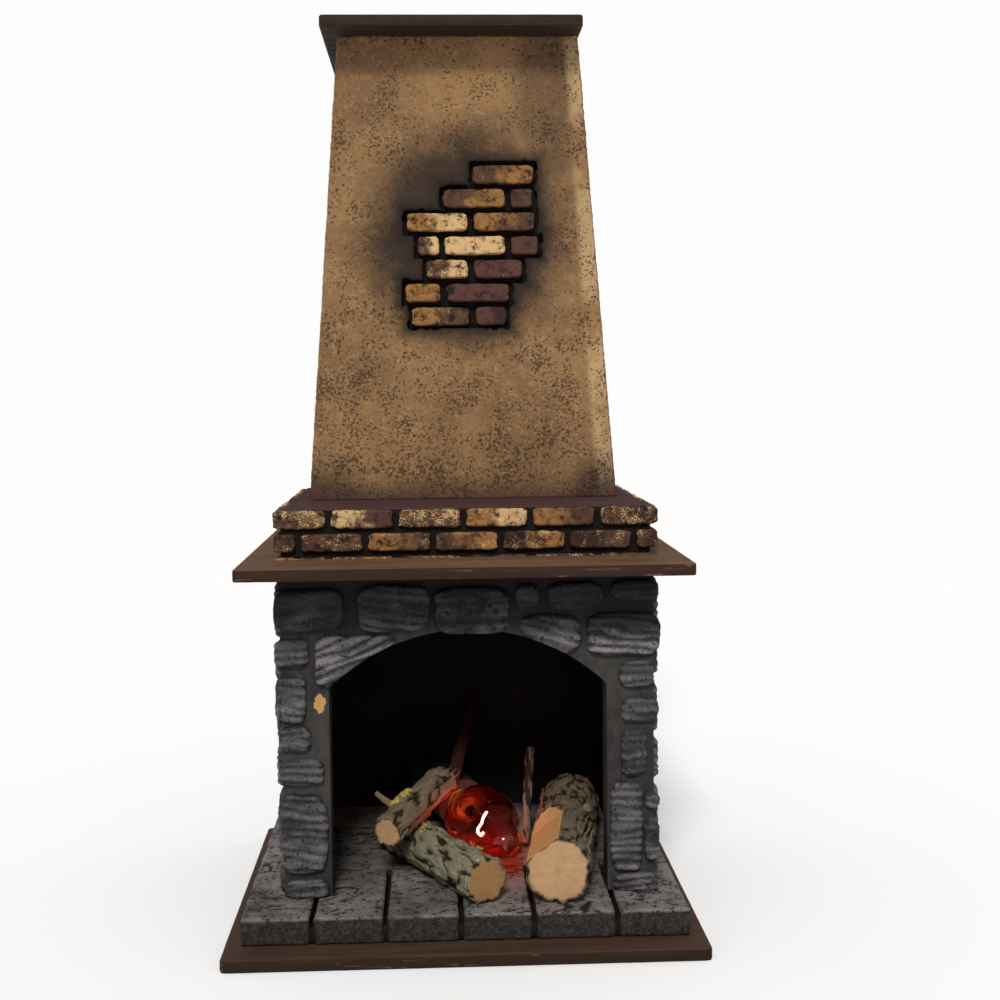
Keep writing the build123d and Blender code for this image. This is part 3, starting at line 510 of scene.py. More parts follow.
def board_material(name, dark_tint, light_tint, edge_tint):
    """Stained ply board: grain along the board, dark edges and rubbed corners."""
    material, tree, shader, spot = new_material(name)
    turned = add_node(tree, "ShaderNodeMapping", {"Vector": spot, "Scale": (0.12, 1.0, 1.0)}).outputs[0]
    grain = fill(tree, GRAIN, {"Vector": spot, "Size": 260.0})["Mask"]
    top = mix(tree, times(tree, grain, 0.8), dark_tint, light_tint)
    blotch = rise(tree, cloud(tree, spot, 30.0, 5.0, 0.6), 0.4, 0.7)
    top = mix(tree, times(tree, blotch, 0.5), top, dark_tint)
    edge = mix(tree, cloud(tree, turned, 300.0, 5.0, 0.7), BOARD_DARK, edge_tint)
    colour = mix(tree, kept_value(tree, "upward"), edge, top)
    worn = fill(tree, SPECKLE, {"Vector": turned, "Size": 420.0, "Cover": 0.36})["Mask"]
    rim = times(tree, kept_value(tree, "rim"), times(tree, worn, 0.5))
    colour = mix(tree, rim, colour, BOARD_TAN)
    dress(tree, shader, colour, plus(tree, 0.65, times(tree, grain, 0.2)), grain, 0.3, 0.2 * MM, 0.08)
    return material


def log_material(name, bark_tints, wood_tints, lichen_tint, lichen_cover):
    """A log: cracked bark, sawn ends with rings, bare wood where the bark is gone, and lichen."""
    material, tree, shader, spot = new_material(name)
    raised = kept_value(tree, "raised")
    bark = mix(tree, cloud(tree, spot, 110.0, 6.0, 0.7), *bark_tints)
    bark = fill(tree, BRUSH, {"Vector": spot, "Raised": raised, "Under": BARK_DARK, "Over": bark,
                              "Start": 0.05, "Size": 420.0})["Color"]
    spots = fill(tree, SPECKLE, {"Vector": spot, "Size": 330.0, "Cover": lichen_cover})["Mask"]
    bark = mix(tree, times(tree, spots, rise(tree, raised, 0.3, 0.6)), bark, lichen_tint)
    ring = plus(tree, kept_value(tree, "ring"), times(tree, cloud(tree, spot, 70.0), 4.5 * MM))
    rings = calc(tree, "SINE", times(tree, ring, 2 * math.pi / RING_PITCH))
    rings = rise(tree, plus(tree, rings, times(tree, cloud(tree, spot, 300.0), 2.6)), 1.1, 2.6)
    wood = mix(tree, cloud(tree, spot, 160.0, 5.0, 0.7), *wood_tints)
    wood = mix(tree, times(tree, rings, 0.2), wood, WOOD_RING)
    heart = rise(tree, ring, 5.0 * MM, 1.0 * MM)
    wood = mix(tree, times(tree, heart, 0.35), wood, WOOD_RING)
    wood = mix(tree, times(tree, rise(tree, cloud(tree, spot, 120.0), 0.52, 0.68), 0.3), wood, WOOD_TAN)
    wood = mix(tree, rise(tree, cloud(tree, spot, 900.0, 3.0, 0.7), 0.58, 0.8), wood, WOOD_RING)
    colour = mix(tree, kept_value(tree, "sawn"), bark, wood)
    fibres = mix(tree, cloud(tree, spot, 420.0, 4.0, 0.7), WOOD_YELLOW, WOOD_TAN)
    colour = mix(tree, kept_value(tree, "bare"), colour, fibres)
    dress(tree, shader, colour, 0.8, cloud(tree, spot, 520.0, 6.0, 0.7), 0.5, 0.4 * MM)
    return material


def lichen_material():
    """Dry lichen: yellow green, paler at its tips."""
    material, tree, shader, spot = new_material("lichen")
    colour = mix(tree, cloud(tree, spot, 500.0, 4.0, 0.7), paint(120, 112, 52), LICHEN_YELLOW)
    dress(tree, shader, colour, 0.95, cloud(tree, spot, 1600.0), 0.6, 0.4 * MM, 0.1)
    return material


def glass_material():
    """Clear glass with a coat of red lacquer, which lets coloured light through."""
    material, tree, shader, spot = new_material("red_lamp_glass")
    shader.inputs["Transmission Weight"].default_value = 1.0
    shader.inputs["IOR"].default_value = GLASS_IOR
    lacquer = mix(tree, cloud(tree, spot, 60.0), LAMP_RED, LAMP_RED_DEEP)
    dress(tree, shader, lacquer, 0.03, specular=0.5)
    see_through = add_node(tree, "ShaderNodeBsdfTransparent", {"Color": (0.95, 0.42, 0.30, 1.0)})
    rays = add_node(tree, "ShaderNodeLightPath").outputs["Is Shadow Ray"]
    both = add_node(tree, "ShaderNodeMixShader", {0: rays, 1: shader.outputs[0], 2: see_through.outputs[0]})
    tree.links.new(both.outputs[0], tree.nodes["Material Output"].inputs["Surface"])
    return material


def stem_material():
    """Clear glass of the lamp's stem."""
    material, tree, shader, spot = new_material("stem_glass")
    shader.inputs["Transmission Weight"].default_value = 1.0
    shader.inputs["IOR"].default_value = STEM_IOR
    dress(tree, shader, mix(tree, cloud(tree, spot, 300.0), (0.95, 0.93, 0.9, 1.0), (0.85, 0.85, 0.85, 1.0)), 0.08)
    return material


def filament_material():
    """Glowing wire, whiter along its middle."""
    material, tree, shader, spot = new_material("glowing_wire")
    glow = mix(tree, cloud(tree, spot, 400.0), (1.0, 0.42, 0.22, 1.0), (1.0, 0.72, 0.5, 1.0))
    tree.links.new(glow, shader.inputs["Emission Color"])
    shader.inputs["Emission Strength"].default_value = WIRE_GLOW
    dress(tree, shader, GLOW_ORANGE, 0.5)
    return material


def metal_material(name, tint, roughness):
    """Plain metal with fine scratches."""
    material, tree, shader, spot = new_material(name)
    scratch = cloud(tree, spot, 900.0, 5.0, 0.7)
    shader.inputs["Metallic"].default_value = 1.0
    rough = plus(tree, roughness, times(tree, scratch, 0.25))
    dark = tuple(0.6 * part for part in tint[:3]) + (1.0,)
    dress(tree, shader, mix(tree, rise(tree, cloud(tree, spot, 120.0), 0.45, 0.75), tint, dark), rough, scratch,
          0.15, 0.1 * MM)
    return material


def moulded_material():
    """Black moulded plastic of the lampholder and the cap's insulator."""
    material, tree, shader, spot = new_material("black_moulding")
    skin = cloud(tree, spot, 1500.0, 3.0, 0.6)
    dress(tree, shader, mix(tree, cloud(tree, spot, 80.0), HOLDER_BLACK, paint(44, 42, 41)),
          plus(tree, 0.35, times(tree, skin, 0.2)), skin, 0.2, 0.1 * MM, 0.5)
    return material


def floor_material():
    """Plain pale floor."""
    material, tree, shader, _ = new_material("pale_floor")
    dress(tree, shader, FLOOR_PALE, 0.9, specular=0.1)
    return material


# ---------------------------------------------------------------- reading the frame
def corners_of(points):
    """Lowest and highest corner of the box round some points."""
    return (Vector([min(p[axis] for p in points) for axis in range(3)]),
            Vector([max(p[axis] for p in points) for axis in range(3)]))


def loose_boxes(node):
    """Boxes of the separate solids in one node, from its lowest corner to its highest."""
    bm = bmesh.new()
    bm.from_mesh(frame["nodes"][node].data)
    bmesh.ops.remove_doubles(bm, verts=bm.verts, dist=0.005 * MM)
    boxes = []
    waiting = set(bm.verts)
    while waiting:
        spread = [waiting.pop()]
        corners = []
        while spread:
            vert = spread.pop()
            corners.append(vert.co.copy())
            near = [edge.other_vert(vert) for edge in vert.link_edges]
            fresh = [other for other in near if other in waiting]
            waiting.difference_update(fresh)
            spread.extend(fresh)
        boxes.append(corners_of(corners))
    bm.free()
    return sorted(boxes, key=lambda box: (-round(box[1].z, 4), box[0].x, box[0].y))


def log_ends(node):
    """Middles of a log's two sawn ends and its radius: the ends are its two largest flat faces."""
    mesh = frame["nodes"][node].data
    faces = {}
    for polygon in mesh.polygons:
        key = tuple(round(part, 2) for part in polygon.normal)
        area, total = faces.get(key, (0.0, Vector()))
        faces[key] = (area + polygon.area, total + polygon.center * polygon.area)
    ends = sorted(faces.values(), key=lambda face: -face[0])[:2]
    middles = sorted([total / area for area, total in ends], key=lambda point: point.y)
    return middles[0], middles[1], math.sqrt(ends[0][0] / math.pi)


def arch_of(node):
    """Middle, half width, height of the crown and radius of the arched opening in a panel."""
    low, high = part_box(node)
    inside = [v.co for v in frame["nodes"][node].data.vertices
              if low.x + MM < v.co.x < high.x - MM and v.co.z < high.z - MM]
    left = min(co.x for co in inside)
    right = max(co.x for co in inside)
    crown = max(co.z for co in inside)
    spring = max(co.z for co in inside if co.x < left + 0.01 * MM)
    half = (right - left) / 2
    rise_height = crown - spring
    radius = (half ** 2 + rise_height ** 2) / (2 * rise_height)
    return (left + right) / 2, half, crown, radius


def level_ends(node, level):
    """Lowest and highest corner of a node's cut at its top (1) or its foot (0)."""
    low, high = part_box(node)
    at = high.z if level else low.z
    return corners_of([v.co for v in frame["nodes"][node].data.vertices if abs(v.co.z - at) < 0.05 * MM])


# ---------------------------------------------------------------- mesh work
def share_of(value):
    """A value kept between 0 and 1."""
    return min(max(value, 0.0), 1.0)


def soft_noise(point, size, layers=4):
    """Layered noise, about -1 to 1, with its largest lumps of a size in metres."""
    return noise.fractal(point / size, 1.0, 2.0, layers, noise_basis="PERLIN_ORIGINAL")


def finish_piece(bm, name, material, nodes=(), body="fireplace"):
    """Turn a worked mesh into a piece that rides on its body and stands for its CAD nodes."""
    mesh = bpy.data.meshes.new(name)
    bm.to_mesh(mesh)
    bm.free()
    mesh.shade_smooth()
    piece = bpy.data.objects.new(name, mesh)
    bpy.context.scene.collection.objects.link(piece)
    mesh.materials.append(material)
    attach(piece, body)
    if nodes:
        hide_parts(*nodes)


def fresh_mesh():
    """An empty mesh with the values that the materials read."""
    bm = bmesh.new()
    for name in ("raised", "tone", "upward", "rim", "cream", "ring", "sawn", "bare"):
        bm.verts.layers.float.new(name)
    bm.verts.layers.float_color.new("body_colour")
    return bm


def cut_box(bm, low, high, step, edge):
    """Fill an empty mesh with a box cut into small faces, with rounded edges."""
    bmesh.ops.create_cube(bm, size=1.0)
    size = high - low
    bmesh.ops.scale(bm, vec=size, verts=bm.verts)
    bmesh.ops.translate(bm, vec=(low + high) / 2, verts=bm.verts)
    for axis in range(3):
        along = [e for e in bm.edges if abs((e.verts[0].co - e.verts[1].co)[axis]) > 0.5 * size[axis]]
        cuts = max(1, round(size[axis] / step)) - 1
        if cuts:
            bmesh.ops.subdivide_edges(bm, edges=along, cuts=cuts, use_grid_fill=True)
    for axis in range(3):
        for at in (low[axis] + edge, high[axis] - edge):
            normal = [1.0 if axis == k else 0.0 for k in range(3)]
            spot = (low + high) / 2
            spot[axis] = at
            if not any(abs(v.co[axis] - at) < 0.12 * step for v in bm.verts):
                bmesh.ops.bisect_plane(bm, geom=[*bm.verts, *bm.edges, *bm.faces], plane_co=spot,
                                       plane_no=normal, dist=0.001 * MM)
    inner_low = low + Vector((edge, edge, edge))
    inner_high = high - Vector((edge, edge, edge))
    for v in bm.verts:
        core = Vector([min(max(v.co[k], inner_low[k]), inner_high[k]) for k in range(3)])
        out = v.co - core
        if out.length > 0:
            v.co = core + out.normalized() * edge


def join_part(bm, part):
    """Add a finished part to the piece that it belongs to."""
    mesh = bpy.data.meshes.new("part")
    part.to_mesh(mesh)
    part.free()
    bm.from_mesh(mesh)
    bpy.data.meshes.remove(mesh)


def spin_outline(bm, outline, segments):
    """Spin an outline of points across and along once round Z into a closed shape."""
    verts = [bm.verts.new((across, 0.0, along)) for across, along in outline]
    edges = [bm.edges.new(pair) for pair in zip(verts, verts[1:])]
    bmesh.ops.spin(bm, geom=[*verts, *edges], cent=(0, 0, 0), axis=(0, 0, 1), angle=2 * math.pi,
                   steps=segments, use_merge=True)
    bmesh.ops.remove_doubles(bm, verts=bm.verts, dist=WELD)
    bmesh.ops.recalc_face_normals(bm, faces=bm.faces)


def log_axes(start, end):
    """Turns a frame with Z along a line, Y upwards and X to the viewer's left into the model's frame."""
    along = (end - start).normalized()
    up = (Vector((0, 0, 1)) - along * along.z).normalized()
    side = up.cross(along)
    return Matrix((side, up, along)).transposed().to_4x4()


def stand_between(bm, start, end):
    """Move a piece that was turned along Z to its place in the model."""
    bmesh.ops.transform(bm, matrix=Matrix.Translation(start) @ log_axes(start, end), verts=bm.verts)


def shape_relief(bm, relief, store=("raised",)):
    """Move each vertex out along its normal by what relief gives, and keep the other values it gives."""
    bm.normal_update()
    layers = [bm.verts.layers.float[name] for name in store]
    moves = [(v, v.normal.copy(), relief(v.co, v.normal)) for v in bm.verts]
    for v, normal, (offset, *values) in moves:
        v.co += normal * offset
        for layer, value in zip(layers, values):
            v[layer] = value


def pull_corners(bm, low, high, across, up, power, seed):
    """Round a box's outline to an uneven stone: corners pulled in, sides a little wavy."""
    middle = (low + high) / 2
    half = (high - low) / 2
    for v in bm.verts:
        u = (v.co[across] - middle[across]) / half[across]
        w = (v.co[up] - middle[up]) / half[up]
        far = max(abs(u), abs(w))
        if far < 0.001:
            continue
        du, dw = abs(u) / far, abs(w) / far
        pull = (du ** power + dw ** power) ** (-1 / power)
        wave = 0.05 * noise.noise(Vector((u / far * 1.5, w / far * 1.5, seed)))
        factor = 1 + (pull - 1 + wave) * far ** 2
        v.co[across] = middle[across] + u * factor * half[across]
        v.co[up] = middle[up] + w * factor * half[up]


def stone_relief(seed, pitch, tilt, ridge, lump, pits, face):
    """Carving of one stone: long wavy ridges of a pitch, lumps and pits, deepest on the face it shows."""
    turn = Matrix.Rotation(tilt, 3, "Y")

    def relief(point, normal):
        spot = turn @ point + Vector((0, 0, seed * 0.01))
        along = Vector((spot.x * 0.35, spot.y, spot.z))
        sway = noise.noise(along / (6 * MM) + Vector((seed, 0, 0))) * 1.1
        wave = math.sin(math.pi * (spot.z / pitch) + 1.5 * sway)
        ridges = 2 * abs(wave) ** 0.75 - 1
        lumps = soft_noise(along + Vector((seed, seed, 0)), 5 * MM, 4)
        grit = noise.noise(point / (0.9 * MM))
        dents = 0.0
        if pits:
            near = noise.voronoi(point / (4.2 * MM) + Vector((seed, 0, 0)))[0][0]
            dents = -max(0.0, 0.42 - near) * 2.0
        height = ridge * ridges + lump * lumps + 0.10 * grit + pits * dents
        level = 0.5 + 0.42 * (ridge * ridges + lump * lumps + pits * dents) / (ridge + lump) + 0.08 * grit
        return height * MM * (0.3 + 0.7 * abs(normal[face])), share_of(level)
    return relief


# ---------------------------------------------------------------- stones
# carving: pitch of the ridges in mm, tilt in degrees, depth of ridges, lumps and pits in mm, then how pale
# the stone's foot is and how pale its top
# the foot and top values hold each stone's own tone and a painted shadow of the shelf, darkest on the lintel row
STONE_LOOKS = {
    "lintel_stone_1": (4.6, 8, 0.10, 0.60, 0.0, 0.22, 0.05),
    "lintel_stone_2": (4.2, -10, 0.26, 0.65, 0.0, 0.30, 0.12),
    "lintel_stone_3": (4.4, 0, 0.12, 0.50, 1.0, 0.28, 0.10),
    "lintel_stone_4": (3.6, 0, 0.10, 0.35, 0.0, 0.20, 0.08),
    "lintel_stone_5": (4.5, 6, 0.10, 0.40, 0.0, 0.05, 0.0),
    "lintel_stone_6": (4.5, 0, 0.10, 0.35, 0.0, 0.0, 0.0),
    "arch_stone_left": (4.3, 22, 0.62, 0.45, 0.0, 1.0, 0.75),
    "arch_stone_middle": (4.1, -16, 0.28, 0.65, 0.5, 1.0, 0.45),
    "arch_stone_right": (4.3, -4, 0.50, 0.50, 0.3, 1.0, 0.0),
}
POST_LOOKS = ((3.8, 0, 0.48, 0.45, 0.0, 0.7, 0.5), (4.4, -5, 0.36, 0.60, 0.0, 0.6, 0.45),
              (3.6, 6, 0.30, 0.65, 0.3, 0.55, 0.5))


def carve_stone(bm, box, look, seed, step=STONE_STEP, across=0, power=4.0, bend=None):
    """Add one stone that fills a box, rounded, carved and, where bend says so, fitted over the arch."""
    low, high = box
    part = fresh_mesh()
    cut_box(part, low, high, step, min(STONE_EDGE, 0.45 * min(high - low)))
    pull_corners(part, low, high, across, 2, power, seed)
    if bend:
        for v in part.verts:
            bottom = bend(v.co.x, low.z)
            share = (v.co.z - low.z) / (high.z - low.z)
            v.co.z = bottom + share * (high.z - bottom)
    pitch, tilt, ridge, lump, pits, foot_tone_and_shade, top_tone_and_shade = look
    # tone from foot to top: the stone's own tone with the painted shadow of the shelf
    tone = part.verts.layers.float["tone"]
    for v in part.verts:
        share = (v.co.z - low.z) / (high.z - low.z) + 0.15 * noise.noise(v.co / (5 * MM))
        v[tone] = foot_tone_and_shade + (top_tone_and_shade - foot_tone_and_shade) * share_of((share - 0.3) / 0.4)
    shape_relief(part, stone_relief(seed, pitch * MM, math.radians(tilt), ridge, lump, pits, 1 - across))
    join_part(bm, part)


def sunk(box, panel_front, depth):
    """A front stone's box, reaching into the panel behind it so that it wraps the corner."""
    low, high = box[0].copy(), box[1].copy()
    high.y = panel_front + depth
    return low, high


def over_arch(arch):
    """Lowest height that a stone may reach at each place across the arch."""
    middle, half, crown, radius = arch
    centre = crown - radius

    def bottom(x, lowest):
        off = abs(x - middle)
        if off >= half:
            return lowest
        return max(lowest, centre + math.sqrt(radius ** 2 - off ** 2) + ARCH_CLEARANCE)
    return bottom


def front_stones(material):
    """Stones of the top course and the three over the arch, each a piece of its own."""
    panel_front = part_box("arch_panel")[0].y
    bottom = over_arch(arch_of("arch_panel"))
    for seed, (node, look) in enumerate(STONE_LOOKS.items(), start=1):
        bm = fresh_mesh()
        box = sunk(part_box(node), panel_front, STONE_SINK)
        bend = bottom if node.startswith("arch") else None
        power = 3.2 if node in ("lintel_stone_4", "lintel_stone_5", "arch_stone_middle") else 4.6
        carve_stone(bm, box, look, seed, power=power, bend=bend)
        finish_piece(bm, f"carved_{node}", material, [node])


def post_stones(material):
    """Stones down both posts."""
    panel_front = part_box("arch_panel")[0].y
    for start, node in ((20, "left_post_stones"), (40, "right_post_stones")):
        bm = fresh_mesh()
        for number, box in enumerate(loose_boxes(node)):
            look = POST_LOOKS[number % len(POST_LOOKS)]
            carve_stone(bm, sunk(box, panel_front, STONE_SINK), look, start + number, power=4.2)
        finish_piece(bm, f"carved_{node}", material, [node])


def side_stones(material):
    """Courses of stones on both side walls."""
    for start, side, node in ((60, -1, "left_side_stones"), (90, 1, "right_side_stones")):
        bm = fresh_mesh()
        for number, (low, high) in enumerate(loose_boxes(node)):
            low, high = low.copy(), high.copy()
            if side < 0:
                high.x += STONE_SINK
            else:
                low.x -= STONE_SINK
            look = POST_LOOKS[number % len(POST_LOOKS)]
            carve_stone(bm, (low, high), look, start + number, SIDE_STONE_STEP, across=1, power=5.0)
        finish_piece(bm, f"carved_{node}", material, [node])


# ---------------------------------------------------------------- bricks
PATCH_COLOURS = ((BRICK_BROWN, OCHRE, 0.30), (BRICK_BROWN, OCHRE, 0.30), (MAROON, BRICK_BROWN, 0.25),
                 (OCHRE, CREAM, 0.42), (OCHRE, BRICK_BROWN, 0.30), (BRICK_BROWN, CREAM, 0.40), (CREAM, CREAM, 0.40),
                 (MAROON, MAROON, 0.15), (BRICK_BROWN, CREAM, 0.44), (MAROON, MAROON, 0.26),
                 (OCHRE, OCHRE, 0.28), (MAROON, MAROON, 0.26), (OCHRE, BRICK_BROWN, 0.36),
                 (MAROON, BRICK_DARK, 0.12))
LEDGE_COLOURS = ((BRICK_BROWN, TAN_BROWN, 0.46), (CREAM, MAROON, 0.20), (BRICK_BROWN, BRICK_BROWN, 0.50),
                 (OCHRE, CREAM, 0.36), (OCHRE, BRICK_BROWN, 0.28), (BRICK_BROWN, BRICK_DARK, 0.44))
LOWER_COURSE_COLOURS = ((BRICK_BROWN, BRICK_DARK, 0.42), (MAROON, BRICK_BROWN, 0.38), (OCHRE, BRICK_BROWN, 0.40),
                        (BRICK_BROWN, OCHRE, 0.42), (BRICK_DARK, OCHRE, 0.40), (BRICK_DARK, BRICK_BROWN, 0.38))


def brick_relief(seed):
    """Rough face of a cast brick, with a few chipped hollows."""
    def relief(point, normal):
        spot = point + Vector((0, 0, seed * 0.013))
        lumps = soft_noise(spot, 3.5 * MM, 4)
        grit = noise.noise(spot / (0.7 * MM))
        chip = max(0.0, noise.noise(spot / (5 * MM)) - 0.35)
        level = 0.56 + 0.6 * lumps + 0.3 * grit - 1.2 * chip
        return (0.24 * lumps + 0.15 * grit - 1.0 * chip) * MM, share_of(level)
    return relief


def lay_brick(bm, box, colours, seed, step=BRICK_STEP, across=0):
    """Add one brick, its body colour going from one colour to another along it."""
    low, high = box
    first, second, cream = colours
    edge = min(BRICK_EDGE, 0.4 * min(high - low))
    part = fresh_mesh()
    cut_box(part, low, high, step, edge)
    pull_corners(part, low, high, across, 2, 9.0, seed)
    shape_relief(part, brick_relief(seed))
    colour_layer = part.verts.layers.float_color["body_colour"]
    cream_layer = part.verts.layers.float["cream"]
    for v in part.verts:
        along = (v.co[across] - low[across]) / (high[across] - low[across])
        ragged = along + 0.35 * soft_noise(v.co + Vector((seed, 0, 0)), 6 * MM, 4)
        share = share_of((ragged - 0.35) / 0.3)
        v[colour_layer] = [a * (1 - share) + b * share for a, b in zip(first, second)]
        v[cream_layer] = cream
    join_part(bm, part)


def brickwork(material):
    """Bricks round the ledge and in the hole of the plaster."""
    bm = fresh_mesh()
    boxes = loose_boxes("ledge_bricks_front")
    highest = max(box[1].z for box in boxes)
    upper = [box for box in boxes if box[1].z > highest - MM]
    lower = [box for box in boxes if box[1].z <= highest - MM]
    for number, box in enumerate(upper):
        lay_brick(bm, box, LEDGE_COLOURS[number % len(LEDGE_COLOURS)], 200 + number)
    for number, box in enumerate(lower):
        lay_brick(bm, box, LOWER_COURSE_COLOURS[number % len(LOWER_COURSE_COLOURS)], 220 + number)
    shelf_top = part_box("mantel_shelf")[1].z
    lowest = min(box[0].z for box in boxes)
    for number, box in enumerate(upper):
        low, high = box[0].copy(), box[1].copy()
        low.z, high.z = shelf_top - 1.5 * MM, lowest - THIRD_COURSE_GAP
        lay_brick(bm, (low, high), LOWER_COURSE_COLOURS[(number + 2) % len(LOWER_COURSE_COLOURS)], 240 + number)
    finish_piece(bm, "old_ledge_bricks_front", material, ["ledge_bricks_front"])
    bm = fresh_mesh()
    for number, box in enumerate(loose_boxes("ledge_bricks_sides")):
        lay_brick(bm, box, LEDGE_COLOURS[(number * 7) % len(LEDGE_COLOURS)], 260 + number, 1.1 * MM, across=1)
    finish_piece(bm, "old_ledge_bricks_sides", material, ["ledge_bricks_sides"])
    bm = fresh_mesh()
    for number, box in enumerate(loose_boxes("brick_patch_bricks")):
        lay_brick(bm, box, PATCH_COLOURS[number % len(PATCH_COLOURS)], 300 + number)
    finish_piece(bm, "old_patch_bricks", material, ["brick_patch_bricks"])


# ---------------------------------------------------------------- plaster hood
def plaster_relief(point):
    """Height of the plaster's texture and how raised it is."""
    lumps = soft_noise(point, 9 * MM, 3)
    grains = soft_noise(point, 2.2 * MM, 3)
    level = 0.55 + 0.55 * grains
    return (0.16 * lumps + 0.26 * grains) * MM, share_of(level)


def hole_distance(boxes):
    """Signed distance from a spot on the hood's front to the edge of the broken plaster."""
    def distance(x, z):
        nearest = min(max(low.x - x, x - high.x, low.z - z, z - high.z) for low, high in boxes)
        return nearest - HOLE_MARGIN + 0.9 * MM * noise.noise(Vector((x, z, 0.5)) / (3.2 * MM))
    return distance


def plaster_panel(name, node, corners, step, material, neighbours, distance=None):
    """One face of the hood: a sheet of pitted plaster between four corners, with a wall's thickness."""
    foot_left, foot_right, top_left, top_right = corners
    columns = round((foot_right - foot_left).length / step)
    rows = round((top_left.z - foot_left.z) / PLASTER_STEP)
    out = (foot_right - foot_left).cross(top_left - foot_left).normalized()
    bm = fresh_mesh()
    bmesh.ops.create_grid(bm, x_segments=columns, y_segments=rows, size=0.5)
    raised = bm.verts.layers.float["raised"]
    rim = bm.verts.layers.float["rim"]
    across = bm.verts.layers.float["tone"]
    shrink = 1 - math.sqrt(0.5)
    for v in bm.verts:
        u, w = v.co.x + 0.5, v.co.y + 0.5
        left = foot_left.lerp(top_left, w)
        right = foot_right.lerp(top_right, w)
        width = (right - left).length
        gap = min(u, 1 - u) * width
        normal = out
        sink = 0.0
        if gap < PLASTER_CORNER:
            rounded = PLASTER_CORNER * shrink + gap * (1 - shrink)
            sink = PLASTER_CORNER - math.sqrt(PLASTER_CORNER ** 2 - (PLASTER_CORNER - rounded) ** 2)
            u = rounded / width if u < 0.5 else 1 - rounded / width
            beside = neighbours[0] if u < 0.5 else neighbours[1]
            normal = (out + beside * (1 - gap / PLASTER_CORNER)).normalized()
        spot = left.lerp(right, u) - out * sink
        height, level = plaster_relief(spot)
        v[across] = u
        if distance:
            gap_to_hole = distance(spot.x, spot.z)
            # rim: painted shade, strongest at the hole's broken edge
            v[rim] = max(0.0, 1 - max(gap_to_hole, 0.0) / HOLE_SHADE_REACH) ** 1.5
            if gap_to_hole < HOLE_EDGE:
                height -= HOLE_EDGE_SINK * (1 - max(gap_to_hole, 0.0) / HOLE_EDGE) ** 2
        v.co = spot + normal * height
        v[raised] = level
    if distance:
        broken = [f for f in bm.faces if distance(f.calc_center_median().x, f.calc_center_median().z) < 0]
        bmesh.ops.delete(bm, geom=broken, context="FACES")
        low_z, high_z = foot_left.z + 5 * MM, top_left.z - 5 * MM
        edge_verts = [v for v in bm.verts if v.is_boundary and low_z < v.co.z < high_z
                      and foot_left.x + 25 * MM < v.co.x < foot_right.x - 25 * MM]
        for _ in range(3):
            bmesh.ops.smooth_vert(bm, verts=edge_verts, factor=0.5, use_axis_x=True, use_axis_y=True,
                                  use_axis_z=True)
    bmesh.ops.solidify(bm, geom=bm.faces[:], thickness=PLASTER_WALL)
    finish_piece(bm, name, material, [node])


def corner_ring(low, high, back):
    """The hood's four corners at one height, from the front left one round to the back left one."""
    return [Vector((x, y, low.z)) for x, y in ((low.x, low.y), (high.x, low.y), (high.x, back), (low.x, back))]


def hood(material):
    """The hood's four plastered faces, meeting in rounded corners."""
    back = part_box("hood_back")[1].y
    foot, top = [corner_ring(*level_ends("hood_front", level), back) for level in (0, 1)]
    outward = [(foot[(turn + 1) % 4] - foot[turn]).cross(top[turn] - foot[turn]).normalized() for turn in range(4)]
    distance = hole_distance(loose_boxes("brick_patch_bricks"))
    for turn, name in enumerate(("front", "right_side", "back", "left_side")):
        beyond = (turn + 1) % 4
        corners = (foot[turn], foot[beyond], top[turn], top[beyond])
        front = name == "front"
        plaster_panel(f"plaster_{name}", f"hood_{name}", corners, PLASTER_STEP if front else PLASTER_SIDE_STEP,
                      material, (outward[turn - 1], outward[beyond]), distance if front else None)


# ---------------------------------------------------------------- boards and hearth
def board_relief(point, normal):
    """Slightly uneven face of a sawn and sanded board."""
    return 0.05 * MM * soft_noise(point, 14 * MM, 3), 0.5


def worn_board(node, material):
    """A board with rounded corners, softened edges and small dents."""
    low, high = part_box(node)
    bm = fresh_mesh()
    cut_box(bm, low, high, BOARD_STEP, BOARD_EDGE)
    upward = bm.verts.layers.float["upward"]
    rim = bm.verts.layers.float["rim"]
    bm.normal_update()
    for v in bm.verts:
        v[upward] = 1.0 if v.normal.z > 0.8 else 0.0
        gap = min(v.co.x - low.x, high.x - v.co.x, v.co.y - low.y, high.y - v.co.y)
        near_top = high.z - v.co.z < 1.2 * BOARD_EDGE or v.co.z - low.z < 1.2 * BOARD_EDGE
        v[rim] = 1.0 if gap < 1.2 * BOARD_EDGE and near_top else 0.0
        corner_x = max(low.x + BOARD_CORNER - v.co.x, v.co.x - high.x + BOARD_CORNER, 0.0)
        corner_y = max(low.y + BOARD_CORNER - v.co.y, v.co.y - high.y + BOARD_CORNER, 0.0)
        reach_out = math.hypot(corner_x, corner_y)
        if corner_x and corner_y and reach_out > BOARD_CORNER:
            pull = BOARD_CORNER / reach_out - 1
            v.co.x += math.copysign(corner_x, v.co.x - (low.x + high.x) / 2) * pull
            v.co.y += math.copysign(corner_y, v.co.y - (low.y + high.y) / 2) * pull
    shape_relief(bm, board_relief)
    finish_piece(bm, f"worn_{node}", material, [node])


def hearth_relief(seed):
    """Worn foam block: lumps, grit, pits and a few long cracks."""
    def relief(point, normal):
        spot = point + Vector((seed * 0.05, 0, 0))
        lumps = soft_noise(spot, 11 * MM, 4)
        grit = noise.noise(spot / (1.4 * MM))
        pit = max(0.0, 0.30 - noise.voronoi(spot / (6.5 * MM))[0][0])
        crack = max(0.0, 1 - abs(noise.noise(spot / (17 * MM))) * 26)
        crack *= 1.0 if noise.noise(spot / (30 * MM) + Vector((7, 3, 1))) > 0.08 else 0.0
        level = 0.6 + 0.3 * lumps + 0.18 * grit - 1.3 * pit - 0.6 * crack
        out = (0.34 * lumps + 0.24 * grit - 1.6 * pit - 0.6 * crack) * MM
        return out, share_of(level), share_of((normal.z - 0.3) / 0.5)
    return relief


